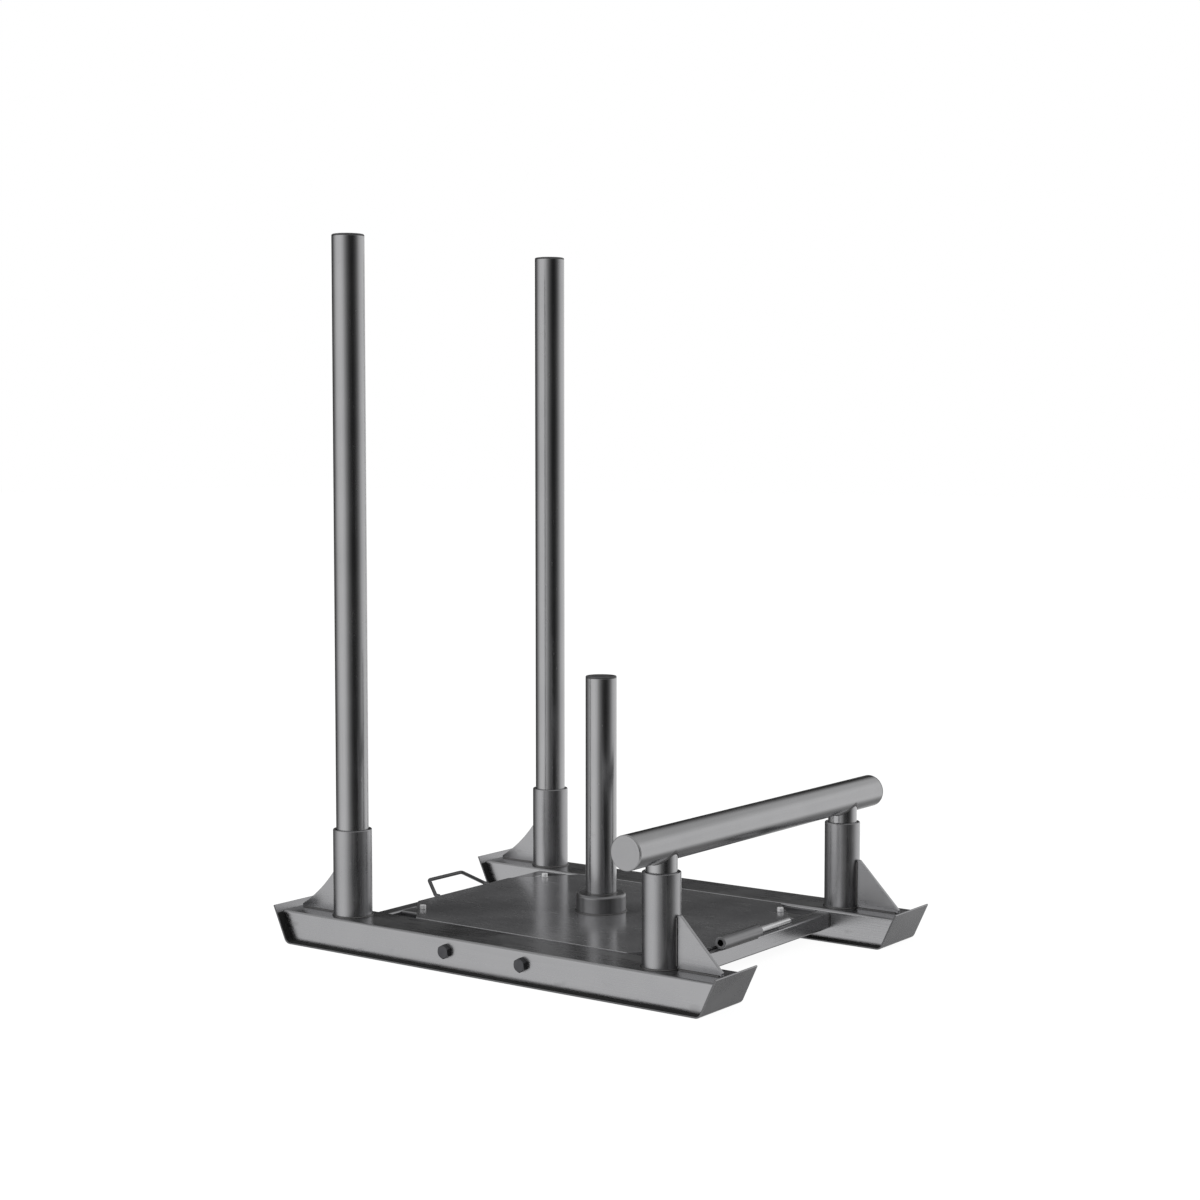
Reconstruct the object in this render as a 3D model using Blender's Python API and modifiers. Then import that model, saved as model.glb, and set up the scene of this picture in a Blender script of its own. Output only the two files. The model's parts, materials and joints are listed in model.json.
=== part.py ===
"""Push and pull sled on two steel skis, for strength and conditioning work.

Two tall push poles stand in sockets at the rear end (-X), and a low push handle stands in
sockets at the front end (+X). A post in the middle of the deck holds weight plates. A bent rod
loop at the rear and a sleeve with a draw pin at the front take a pulling strap.

Units are metres, +Z is up, and the origin is on the floor at the centre of the sled. The left
side is +Y and the right side is -Y, seen from behind the push poles.
"""
import math

import bmesh
import bpy
from mathutils import Euler, Matrix, Vector

# Fits between pieces
SEAT_GAP = 0.0003
SLIDE_CLEARANCE = 0.0005
HOLE_CLEARANCE = 0.0005

# Skis: a bent wear shoe, a rubber liner in it and a folded channel on top
SKI_TRACK = 0.504
SHOE_WIDTH = 0.106
SHOE_THICKNESS = 0.004
SHOE_FLAT_LENGTH = 0.772
SHOE_BEND_RADIUS = 0.012
NOSE_HEIGHT = 0.057
NOSE_LEAN = math.radians(25.0)
LINER_WIDTH = 0.102
LINER_THICKNESS = 0.0025
BODY_WIDTH = 0.080
BODY_HEIGHT = 0.0415
BODY_WALL = 0.003
BODY_BEND_RADIUS = 0.004
BODY_END_GAP = 0.003

# Frame between the skis
FRAME_INSET = 0.097
FRAME_BAR_WIDTH = 0.025
FRAME_BAR_HEIGHT = 0.025
FRAME_BAR_WALL = 0.002
FRAME_BAR_CORNER = 0.003
SIDE_BAR_THICKNESS = 0.005
BEARER_WIDTH = 0.030
BEARER_INSET = 0.0547

# Deck plate
DECK_END_INSET = 0.011
DECK_THICKNESS = 0.004
DECK_CORNER_X = 0.079
DECK_CORNER_Y = 0.0965
DECK_SCREW_INSET = 0.046

# Weight post
WEIGHT_POST_DIAMETER = 0.0485
WEIGHT_POST_WALL = 0.0035
WEIGHT_POST_LENGTH = 0.366
COLLAR_DIAMETER = 0.078
COLLAR_HEIGHT = 0.028
COLLAR_FILLET = 0.005

# Push poles and their sockets
POLE_INSET = 0.0935
POLE_DIAMETER = 0.050
POLE_WALL = 0.003
POLE_LENGTH = 1.0428
POLE_SOCKET_WALL = 0.0045
SOCKET_HEIGHT = 0.1343
SOCKET_CHAMFER = 0.0012

# Low push handle and its sockets
HANDLE_INSET = 0.0985
HANDLE_POST_DIAMETER = 0.045
HANDLE_POST_WALL = 0.003
HANDLE_SOCKET_WALL = 0.0047
HANDLE_BAR_DIAMETER = 0.050
HANDLE_BAR_WALL = 0.003
HANDLE_BAR_OVERHANG = 0.085
HANDLE_BAR_RISE = 0.1727

# Plugs that close the tube ends
PLUG_RIM = 0.0025
PLUG_SKIRT_DEPTH = 0.018
PLUG_SKIRT_WALL = 0.002

# Gussets that brace the sockets
GUSSET_THICKNESS = 0.006
GUSSET_LENGTH = 0.074
GUSSET_TIP = 0.005
POLE_GUSSET_HEIGHT = 0.067
POLE_GUSSET_SAG = 0.0045
HANDLE_GUSSET_HEIGHT = 0.076

# Rear tow loop
LOOP_ROD_DIAMETER = 0.006
LOOP_FOOT_SPACING = 0.125
LOOP_TOP_SPACING = 0.083
LOOP_FOOT_INSET = 0.003
LOOP_REACH = 0.032
LOOP_RISE = 0.018
LOOP_CORNER_RADIUS = 0.006

# Front draw pin and its sleeve
SLEEVE_DIAMETER = 0.0185
SLEEVE_LENGTH = 0.103
SLEEVE_CENTRE_Y = -0.0505
SLEEVE_INSET = 0.001
PIN_DIAMETER = 0.009
PIN_EDGE = 0.0015
PIN_LENGTH = 0.157
PIN_REACH = 0.0885

# Fasteners: M12 hexagon bolts through the skis, M6 cap screws through the deck
SIDE_BOLT_DIAMETER = 0.012
SIDE_BOLT_ACROSS_FLATS = 0.019
SIDE_BOLT_HEAD = 0.0075
SIDE_BOLT_SPACING = 0.143
SIDE_BOLT_RISE = 0.0285
SIDE_NUT_HEIGHT = 0.010
DECK_SCREW_DIAMETER = 0.006
DECK_SCREW_HEAD_DIAMETER = 0.010
DECK_SCREW_HEAD = 0.006
DECK_SCREW_SOCKET = 0.005
DECK_SCREW_SOCKET_DEPTH = 0.003
DECK_SCREW_EDGE = 0.0006
DECK_NUT_ACROSS_FLATS = 0.010
DECK_NUT_HEIGHT = 0.005
BOLT_END = 0.002
BOLT_HEAD_CHAMFER = 0.12

# Edges and smoothness of round shapes
TUBE_EDGE = 0.0008
TUBE_STEPS = 36
SMALL_STEPS = 20
BEND_STEPS = 5
GUSSET_STEPS = 4

# Heights and places that follow from the sizes above
SKI_Y = SKI_TRACK / 2
SKI_INNER_Y = SKI_Y - BODY_WIDTH / 2
SKI_OUTER_Y = SKI_Y + BODY_WIDTH / 2
LINER_OFFSET = SHOE_THICKNESS + SEAT_GAP
BODY_OFFSET = LINER_OFFSET + LINER_THICKNESS + SEAT_GAP
BODY_TOP = BODY_OFFSET + BODY_HEIGHT
SEAT_Z = BODY_TOP + SEAT_GAP
DECK_TOP = BODY_TOP
FRAME_LENGTH = SHOE_FLAT_LENGTH - 2 * FRAME_INSET
DECK_LENGTH = FRAME_LENGTH - 2 * DECK_END_INSET
DECK_UNDERSIDE = DECK_TOP - DECK_THICKNESS
FRAME_TOP = DECK_UNDERSIDE - SEAT_GAP
FRAME_BOTTOM = FRAME_TOP - FRAME_BAR_HEIGHT
FRAME_HALF_WIDTH = SKI_INNER_Y - SEAT_GAP
CROSS_BAR_X = (FRAME_LENGTH - FRAME_BAR_WIDTH) / 2
INNER_BAR_LENGTH = FRAME_LENGTH - 2 * FRAME_BAR_WIDTH - 2 * SEAT_GAP
BEARER_Y = FRAME_HALF_WIDTH - BEARER_INSET
DECK_SCREW_X = DECK_LENGTH / 2 - DECK_SCREW_INSET
SIDE_BOLT_X = SIDE_BOLT_SPACING / 2
POLE_X = POLE_INSET - SHOE_FLAT_LENGTH / 2
HANDLE_X = SHOE_FLAT_LENGTH / 2 - HANDLE_INSET
HANDLE_BAR_Z = BODY_TOP + HANDLE_BAR_RISE
HANDLE_BAR_LENGTH = SKI_TRACK + 2 * HANDLE_BAR_OVERHANG
SLEEVE_X = FRAME_LENGTH / 2 - SLEEVE_INSET
POLE_SOCKET_BORE = POLE_DIAMETER + 2 * SLIDE_CLEARANCE
POLE_SOCKET_DIAMETER = POLE_SOCKET_BORE + 2 * POLE_SOCKET_WALL
HANDLE_SOCKET_BORE = HANDLE_POST_DIAMETER + 2 * SLIDE_CLEARANCE
HANDLE_SOCKET_DIAMETER = HANDLE_SOCKET_BORE + 2 * HANDLE_SOCKET_WALL
SIDES = {"left": 1, "right": -1}

# Finishes as base colour, roughness and metallic value
SATIN_STEEL = ((0.36, 0.36, 0.37, 1.0), 0.32, 0.9)
POLISHED_TUBE = ((0.40, 0.40, 0.41, 1.0), 0.22, 0.95)
DARK_PLATE = ((0.10, 0.10, 0.11, 1.0), 0.25, 0.8)
DARK_STEEL = ((0.20, 0.20, 0.21, 1.0), 0.35, 0.9)
BLACK_RUBBER = ((0.012, 0.012, 0.013, 1.0), 0.75, 0.0)
GREY_PLASTIC = ((0.16, 0.16, 0.165, 1.0), 0.45, 0.0)
BLACK_BOLT = ((0.045, 0.045, 0.05, 1.0), 0.4, 0.9)
ZINC_BOLT = ((0.62, 0.62, 0.64, 1.0), 0.25, 1.0)


def clear_scene():
    """Remove the objects of the scene that the file opens with."""
    for item in list(bpy.data.objects):
        bpy.data.objects.remove(item, do_unlink=True)


def new_collection(name):
    """Add a collection under the scene."""
    collection = bpy.data.collections.new(name)
    bpy.context.scene.collection.children.link(collection)
    return collection


def give_finish(item, finish):
    """Give an object a material of its own."""
    colour, roughness, metallic = finish
    material = bpy.data.materials.new(item.name + "_finish")
    material.use_nodes = True
    shader = material.node_tree.nodes["Principled BSDF"]
    shader.inputs["Base Color"].default_value = colour
    shader.inputs["Roughness"].default_value = roughness
    shader.inputs["Metallic"].default_value = metallic
    item.data.materials.clear()
    item.data.materials.append(material)


def mesh_object(name, mesh, location=(0.0, 0.0, 0.0), rotation=(0.0, 0.0, 0.0)):
    """Put a mesh into the model as a named object."""
    item = bpy.data.objects.new(name, mesh)
    item.location = location
    item.rotation_euler = rotation
    MODEL.objects.link(item)
    return item


def shade_round(mesh, angle=35.0):
    """Shade a round piece smooth and keep its real edges sharp."""
    mesh.shade_smooth()
    mesh.set_sharp_from_angle(angle=math.radians(angle))


def arc_points(centre, radius, start, end, steps):
    """Points of an arc in a plane, from one angle in degrees to another."""
    points = []
    for step in range(steps + 1):
        angle = math.radians(start + (end - start) * step / steps)
        points.append((centre[0] + radius * math.cos(angle), centre[1] + radius * math.sin(angle)))
    return points


def box(name, size, centre, finish):
    """A plain bar: a cube primitive at its size and place."""
    bpy.ops.mesh.primitive_cube_add(size=1.0, location=centre)
    item = bpy.context.object
    item.name = name
    item.data.transform(Matrix.Diagonal((*size, 1.0)))
    for collection in list(item.users_collection):
        collection.objects.unlink(item)
    MODEL.objects.link(item)
    give_finish(item, finish)
    return item


def turned(name, profile, finish, steps=TUBE_STEPS, closed=False,
           location=(0.0, 0.0, 0.0), rotation=(0.0, 0.0, 0.0)):
    """A turned piece: a profile of (radius, height) points with a Screw modifier.

    The profile runs down the outer side. A closed one comes back up the bore, and an open one
    starts and ends on the axis.
    """
    mesh = bpy.data.meshes.new(name)
    verts = [(radius, 0.0, height) for radius, height in profile]
    edges = [(index, index + 1) for index in range(len(verts) - 1)]
    if closed:
        edges.append((len(verts) - 1, 0))
    mesh.from_pydata(verts, edges, [])
    item = mesh_object(name, mesh, location, rotation)
    screw = item.modifiers.new("Turn", "SCREW")
    screw.steps = steps
    screw.render_steps = steps
    screw.use_merge_vertices = True
    screw.merge_threshold = 0.0001
    screw.use_smooth_shade = True
    give_finish(item, finish)
    return item


def tube_profile(diameter, wall, length, chamfer):
    """Closed profile of a tube that starts at height 0, with chamfered rims."""
    outer = diameter / 2
    inner = outer - wall
    return [
        (outer - chamfer, length),
        (outer, length - chamfer),
        (outer, chamfer),
        (outer - chamfer, 0.0),
        (inner + chamfer, 0.0),
        (inner, chamfer),
        (inner, length - chamfer),
        (inner + chamfer, length),
    ]


def plug_profile(diameter, wall):
    """Profile of a domed tube plug, rim underside at height 0 and skirt below it."""
    rim = diameter / 2
    skirt = rim - wall - SEAT_GAP
    bore = skirt - PLUG_SKIRT_WALL
    dome = arc_points((rim - PLUG_RIM, 0.0), PLUG_RIM, 90, 0, 3)
    return [(0.0, PLUG_RIM)] + dome + [
        (skirt, 0.0),
        (skirt, -PLUG_SKIRT_DEPTH),
        (bore, -PLUG_SKIRT_DEPTH),
        (bore, 0.0),
        (0.0, 0.0),
    ]


def flat_outline(name, loops, thickness, finish, location, rotation=(0.0, 0.0, 0.0)):
    """A flat piece: a filled 2D curve, extruded, and made a mesh.

    The first loop is the outline, and any others are holes in it.
    """
    curve = bpy.data.curves.new(name + "_outline", "CURVE")
    curve.dimensions = "2D"
    curve.fill_mode = "BOTH"
    curve.extrude = thickness / 2
    for loop in loops:
        spline = curve.splines.new("POLY")
        spline.points.add(len(loop) - 1)
        for point, (x, y) in zip(spline.points, loop):
            point.co = (x, y, 0.0, 1.0)
        spline.use_cyclic_u = True
    return solid_from_curve(name, curve, finish, location, rotation)


def solid_from_curve(name, curve, finish, location, rotation=(0.0, 0.0, 0.0)):
    """Turn a curve into a closed mesh object, with its caps welded on."""
    guide = bpy.data.objects.new(name + "_curve", curve)
    guide.location = location
    guide.rotation_euler = rotation
    MODEL.objects.link(guide)
    bpy.context.view_layer.update()
    graph = bpy.context.evaluated_depsgraph_get()
    mesh = bpy.data.meshes.new_from_object(guide.evaluated_get(graph))
    mesh.name = name
    matrix = guide.matrix_world.copy()
    bpy.data.objects.remove(guide, do_unlink=True)
    shape = bmesh.new()
    shape.from_mesh(mesh)
    bmesh.ops.remove_doubles(shape, verts=shape.verts, dist=0.00001)
    bmesh.ops.recalc_face_normals(shape, faces=shape.faces)
    shape.to_mesh(mesh)
    shape.free()
    item = mesh_object(name, mesh)
    item.matrix_world = matrix
    give_finish(item, finish)
    return item


def rounded_rectangle(width, height, radius):
    """Outline of a rectangle with round corners, centred on the origin."""
    x = width / 2 - radius
    y = height / 2 - radius
    points = []
    for centre, start in (((x, y), 0), ((-x, y), 90), ((-x, -y), 180), ((x, -y), 270)):
        points += arc_points(centre, radius, start, start + 90, 3)
    return points


def circle(centre, diameter, steps=SMALL_STEPS):
    """Outline of a round hole."""
    return arc_points(centre, diameter / 2, 0, 360 - 360 / steps, steps - 1)


def hexagon(across_flats):
    """Outline of a hexagon of a given width across its flats."""
    return arc_points((0.0, 0.0), across_flats / math.sqrt(3), 0, 300, 5)


def hollow_bar(name, width, height, length, centre, rotation):
    """A rectangular tube: two rounded outlines, one in the other, extruded."""
    bore = rounded_rectangle(width - 2 * FRAME_BAR_WALL, height - 2 * FRAME_BAR_WALL,
                             FRAME_BAR_CORNER - FRAME_BAR_WALL)
    loops = [rounded_rectangle(width, height, FRAME_BAR_CORNER), bore]
    return flat_outline(name, loops, length, DARK_STEEL, centre, rotation)


def cut(item, cutter):
    """Cut one object with another that stays in the cutters collection."""
    boolean = item.modifiers.new("Cut_" + cutter.name, "BOOLEAN")
    boolean.operation = "DIFFERENCE"
    boolean.solver = "EXACT"
    boolean.object = cutter


def drill(name, diameter, length, centre, rotation, steps=SMALL_STEPS):
    """A round bar that cuts or joins another piece, kept in the cutters collection."""
    shape = bmesh.new()
    bmesh.ops.create_cone(shape, cap_ends=True, segments=steps, radius1=diameter / 2,
                          radius2=diameter / 2, depth=length)
    mesh = bpy.data.meshes.new(name)
    shape.to_mesh(mesh)
    shape.free()
    item = bpy.data.objects.new(name, mesh)
    item.location = centre
    item.rotation_euler = rotation
    item.display_type = "WIRE"
    item.hide_render = True
    CUTTERS.objects.link(item)
    return item


def nose_line_x(height, offset):
    """Where the nose stands at a height, for a layer at an offset inside the shoe."""
    corner = SHOE_FLAT_LENGTH / 2
    return corner + height * math.tan(NOSE_LEAN) - offset / math.cos(NOSE_LEAN)


def layer_path(offset, top):
    """Half of the path of a bent layer in the XZ plane, from the middle to the nose's top.

    The layer lies at an offset inside the shoe's outer face, with its bend round the same
    centre.
    """
    radius = SHOE_BEND_RADIUS - offset
    lean = math.degrees(NOSE_LEAN)
    tangent = SHOE_BEND_RADIUS * math.tan(math.radians(90 - lean) / 2)
    centre = (SHOE_FLAT_LENGTH / 2 - tangent, SHOE_BEND_RADIUS)
    points = [(0.0, offset)]
    points += arc_points(centre, radius, -90, -lean, BEND_STEPS)
    points.append((nose_line_x(top, offset), top))
    return points


def extruded_sheet(name, profile, reach, facing):
    """An open surface: a row of edges, extruded by a matrix, its largest face facing one way."""
    shape = bmesh.new()
    verts = [shape.verts.new(point) for point in profile]
    edges = [shape.edges.new(pair) for pair in zip(verts, verts[1:])]
    grown = bmesh.ops.extrude_edge_only(shape, edges=edges)["geom"]
    moved = [item for item in grown if isinstance(item, bmesh.types.BMVert)]
    bmesh.ops.transform(shape, verts=moved, matrix=reach)
    bmesh.ops.recalc_face_normals(shape, faces=shape.faces)
    largest = max(shape.faces, key=lambda face: face.calc_area())
    if largest.normal.dot(Vector(facing)) < 0:
        bmesh.ops.reverse_faces(shape, faces=shape.faces)
    mesh = bpy.data.meshes.new(name)
    shape.to_mesh(mesh)
    shape.free()
    shade_round(mesh)
    return mesh


def thicken(item, thickness):
    """Give an open surface its sheet thickness, inward from its outer face."""
    solidify = item.modifiers.new("Thickness", "SOLIDIFY")
    solidify.thickness = thickness
    solidify.offset = -1.0
    solidify.use_even_offset = True


def bent_layer(name, offset, thickness, width, top, y, finish):
    """A strip bent up at both ends: an open surface, thickened inward by Solidify."""
    half = layer_path(offset, top)
    path = [(-x, z) for x, z in reversed(half[1:])] + half[1:]
    profile = [(x, -width / 2, z) for x, z in path]
    across = Matrix.Translation((0.0, width, 0.0))
    mesh = extruded_sheet(name, profile, across, (0.0, 0.0, -1.0))
    item = mesh_object(name, mesh, (0.0, y, 0.0))
    thicken(item, thickness)
    give_finish(item, finish)


def ski_body(side, y, drills):
    """The ski's channel: a folded sheet, open below, with its ends cut along the noses."""
    name = "ski_body_" + side
    radius = BODY_BEND_RADIUS
    half = BODY_WIDTH / 2
    section = [(half, BODY_OFFSET)]
    section += arc_points((half - radius, BODY_TOP - radius), radius, 0, 90, 4)
    section += arc_points((radius - half, BODY_TOP - radius), radius, 90, 180, 4)
    section.append((-half, BODY_OFFSET))
    offset = BODY_OFFSET + BODY_END_GAP
    profile = [(-nose_line_x(z, offset), v, z) for v, z in section]
    end_to_end = Matrix.Scale(-1.0, 4, (1.0, 0.0, 0.0))
    mesh = extruded_sheet(name, profile, end_to_end, (0.0, 0.0, 1.0))
    item = mesh_object(name, mesh, (0.0, y, 0.0))
    thicken(item, BODY_WALL)
    for cutter in drills:
        cut(item, cutter)
    give_finish(item, SATIN_STEEL)


def build_skis(side_drills):
    """Both skis, each a shoe, a liner and a channel."""
    for side, sign in SIDES.items():
        y = sign * SKI_Y
        bent_layer("ski_shoe_" + side, 0.0, SHOE_THICKNESS, SHOE_WIDTH, NOSE_HEIGHT, y,
                   SATIN_STEEL)
        bent_layer("ski_liner_" + side, LINER_OFFSET, LINER_THICKNESS, LINER_WIDTH,
                   BODY_TOP - LINER_THICKNESS, y, BLACK_RUBBER)
        ski_body(side, y, side_drills)


def build_frame(side_drills, deck_drills):
    """The welded frame between the skis: cross bars, side bars and deck bearers."""
    z = (FRAME_TOP + FRAME_BOTTOM) / 2
    for end, sign in (("front", 1), ("rear", -1)):
        hollow_bar("cross_bar_" + end, FRAME_BAR_WIDTH, FRAME_BAR_HEIGHT, 2 * FRAME_HALF_WIDTH,
                   (sign * CROSS_BAR_X, 0.0, z), (math.pi / 2, 0.0, 0.0))
    for side, sign in SIDES.items():
        y = sign * (FRAME_HALF_WIDTH - SIDE_BAR_THICKNESS / 2)
        bar = box("side_bar_" + side, (INNER_BAR_LENGTH, SIDE_BAR_THICKNESS, FRAME_BAR_HEIGHT),
                  (0.0, y, z), DARK_STEEL)
        for cutter in side_drills:
            cut(bar, cutter)
        bearer = hollow_bar("deck_bearer_" + side, FRAME_BAR_HEIGHT, BEARER_WIDTH,
                            INNER_BAR_LENGTH, (0.0, sign * BEARER_Y, z),
                            (0.0, math.pi / 2, 0.0))
        for cutter in deck_drills:
            cut(bearer, cutter)
    span = 2 * BEARER_Y - BEARER_WIDTH - 2 * SEAT_GAP
    hollow_bar("post_bearer", BEARER_WIDTH, FRAME_BAR_HEIGHT, span, (0.0, 0.0, z),
               (math.pi / 2, 0.0, 0.0))


def build_deck():
    """The deck plate with its cut corners and four screw holes."""
    x = DECK_LENGTH / 2
    y = FRAME_HALF_WIDTH
    long_x = x - DECK_CORNER_X
    long_y = y - DECK_CORNER_Y
    outline = [(x, long_y), (long_x, y), (-long_x, y), (-x, long_y)]
    outline += [(-u, -v) for u, v in outline]
    hole = DECK_SCREW_DIAMETER + 2 * HOLE_CLEARANCE
    holes = [circle((sx * DECK_SCREW_X, sy * BEARER_Y), hole) for sx in (-1, 1) for sy in (-1, 1)]
    flat_outline("deck_plate", [outline] + holes, DECK_THICKNESS, DARK_PLATE,
                 (0.0, 0.0, DECK_TOP - DECK_THICKNESS / 2))


def build_weight_post():
    """The plate post, the collar round its foot and the plug in its top."""
    turned("weight_post", tube_profile(WEIGHT_POST_DIAMETER, WEIGHT_POST_WALL,
                                       WEIGHT_POST_LENGTH, TUBE_EDGE),
           POLISHED_TUBE, closed=True, location=(0.0, 0.0, SEAT_Z))
    outer = COLLAR_DIAMETER / 2
    bore = WEIGHT_POST_DIAMETER / 2 + SEAT_GAP
    top = COLLAR_HEIGHT - COLLAR_FILLET
    rim = arc_points((outer - COLLAR_FILLET, top), COLLAR_FILLET, 90, 0, 4)
    profile = rim + [(outer, 0.0), (bore, 0.0), (bore, COLLAR_HEIGHT)]
    turned("post_collar", profile, SATIN_STEEL, closed=True, location=(0.0, 0.0, SEAT_Z))
    turned("post_plug", plug_profile(WEIGHT_POST_DIAMETER, WEIGHT_POST_WALL), GREY_PLASTIC,
           location=(0.0, 0.0, SEAT_Z + WEIGHT_POST_LENGTH + SEAT_GAP))


def socket(name, x, y, bore, diameter):
    """A socket tube that stands on a ski, with a lead-in chamfer in its mouth."""
    inner = bore / 2
    outer = diameter / 2
    profile = [
        (outer - SOCKET_CHAMFER, SOCKET_HEIGHT),
        (outer, SOCKET_HEIGHT - SOCKET_CHAMFER),
        (outer, 0.0),
        (inner, 0.0),
        (inner, SOCKET_HEIGHT - SOCKET_CHAMFER),
        (inner + SOCKET_CHAMFER, SOCKET_HEIGHT),
    ]
    turned(name, profile, SATIN_STEEL, closed=True, location=(x, y, SEAT_Z))


def gusset(name, x, y, direction, height, sag=0.0):
    """A triangular brace that stands on the ski's centre line beside its socket.

    The sag is how far its long edge curves in.
    """
    foot = Vector((GUSSET_LENGTH, GUSSET_TIP))
    run = Vector((GUSSET_TIP, height)) - foot
    inward = Vector((-run.y, run.x)).normalized()
    outline = [(0.0, 0.0), (GUSSET_LENGTH, 0.0)]
    steps = GUSSET_STEPS if sag else 1
    for step in range(steps + 1):
        share = step / steps
        outline.append(tuple(foot + run * share + inward * (4 * sag * share * (1 - share))))
    outline.append((0.0, height))
    if direction < 0:
        outline = [(-u, v) for u, v in reversed(outline)]
    flat_outline(name, [outline], GUSSET_THICKNESS, SATIN_STEEL,
                 (x + direction * SEAT_GAP, y, SEAT_Z), (math.pi / 2, 0.0, 0.0))


def build_push_poles():
    """Sockets, gussets, poles and pole plugs at the rear end."""
    radius = POLE_SOCKET_DIAMETER / 2
    for side, sign in SIDES.items():
        y = sign * SKI_Y
        socket("pole_socket_" + side, POLE_X, y, POLE_SOCKET_BORE, POLE_SOCKET_DIAMETER)
        gusset("pole_gusset_" + side, POLE_X - radius, y, -1, POLE_GUSSET_HEIGHT,
               POLE_GUSSET_SAG)
        pole = turned("push_pole_" + side,
                      tube_profile(POLE_DIAMETER, POLE_WALL, POLE_LENGTH, TUBE_EDGE),
                      POLISHED_TUBE, closed=True, location=(POLE_X, y, SEAT_Z))
        plug = turned("pole_plug_" + side, plug_profile(POLE_DIAMETER, POLE_WALL), GREY_PLASTIC,
                      location=(0.0, 0.0, POLE_LENGTH + SEAT_GAP))
        plug.parent = pole


def build_push_handle():
    """Sockets, gussets and the low handle: a bar on two posts that are notched to it."""
    radius = HANDLE_SOCKET_DIAMETER / 2
    bar_cutter = drill("handle_bar_notch", HANDLE_BAR_DIAMETER + 2 * SEAT_GAP, HANDLE_BAR_LENGTH,
                       (HANDLE_X, 0.0, HANDLE_BAR_Z), (math.pi / 2, 0.0, 0.0), TUBE_STEPS)
    carrier = bpy.data.objects.new("handle_lift", None)
    carrier.location = (HANDLE_X, 0.0, SEAT_Z)
    MODEL.objects.link(carrier)
    post_length = HANDLE_BAR_Z - SEAT_Z
    for side, sign in SIDES.items():
        y = sign * SKI_Y
        socket("handle_socket_" + side, HANDLE_X, y, HANDLE_SOCKET_BORE, HANDLE_SOCKET_DIAMETER)
        gusset("handle_gusset_" + side, HANDLE_X + radius, y, 1, HANDLE_GUSSET_HEIGHT)
        post = turned("handle_post_" + side,
                      tube_profile(HANDLE_POST_DIAMETER, HANDLE_POST_WALL, post_length, TUBE_EDGE),
                      POLISHED_TUBE, closed=True, location=(0.0, y, 0.0))
        post.parent = carrier
        cut(post, bar_cutter)
        plug = turned("handle_plug_" + side, plug_profile(HANDLE_BAR_DIAMETER, HANDLE_BAR_WALL),
                      GREY_PLASTIC,
                      location=(0.0, sign * (HANDLE_BAR_LENGTH / 2 + SEAT_GAP), post_length),
                      rotation=(-sign * math.pi / 2, 0.0, 0.0))
        plug.parent = carrier
    bar = turned("handle_bar",
                 tube_profile(HANDLE_BAR_DIAMETER, HANDLE_BAR_WALL, HANDLE_BAR_LENGTH, TUBE_EDGE),
                 POLISHED_TUBE, closed=True,
                 location=(0.0, HANDLE_BAR_LENGTH / 2, post_length),
                 rotation=(math.pi / 2, 0.0, 0.0))
    bar.parent = carrier


def rounded_path(corners, radius, steps):
    """Points along a bent rod, with an arc in place of each inner corner."""
    points = [corners[0]]
    for before, corner, after in zip(corners, corners[1:], corners[2:]):
        toward = (before - corner).normalized()
        away = (after - corner).normalized()
        half_angle = toward.angle(away) / 2
        run = radius / math.tan(half_angle)
        bisector = (toward + away).normalized()
        centre = corner + bisector * (radius / math.sin(half_angle))
        first = corner + toward * run - centre
        last = corner + away * run - centre
        for step in range(steps + 1):
            spoke = first.slerp(last, step / steps).normalized()
            points.append(centre + spoke * radius)
    points.append(corners[-1])
    return points


def build_tow_loop():
    """The rear loop: one rod whose feet lie on the cross bar, and that leans out and up."""
    radius = LOOP_ROD_DIAMETER / 2
    bend_x = -(FRAME_LENGTH / 2 - LOOP_FOOT_INSET)
    foot_x = -(DECK_LENGTH / 2 + SEAT_GAP)
    foot_z = FRAME_TOP + SEAT_GAP + radius
    foot_y = LOOP_FOOT_SPACING / 2
    top_y = LOOP_TOP_SPACING / 2
    corners = [
        Vector((foot_x, -foot_y, foot_z)),
        Vector((bend_x, -foot_y, foot_z)),
        Vector((bend_x - LOOP_REACH, -top_y, foot_z + LOOP_RISE)),
        Vector((bend_x - LOOP_REACH, top_y, foot_z + LOOP_RISE)),
        Vector((bend_x, foot_y, foot_z)),
        Vector((foot_x, foot_y, foot_z)),
    ]
    curve = bpy.data.curves.new("tow_loop_path", "CURVE")
    curve.dimensions = "3D"
    curve.bevel_depth = radius
    curve.bevel_resolution = 2
    curve.use_fill_caps = True
    points = rounded_path(corners, LOOP_CORNER_RADIUS, 4)
    spline = curve.splines.new("POLY")
    spline.points.add(len(points) - 1)
    for point, place in zip(spline.points, points):
        point.co = (*place, 1.0)
    loop = solid_from_curve("tow_loop", curve, POLISHED_TUBE, (0.0, 0.0, 0.0))
    shade_round(loop.data, 50.0)


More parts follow.
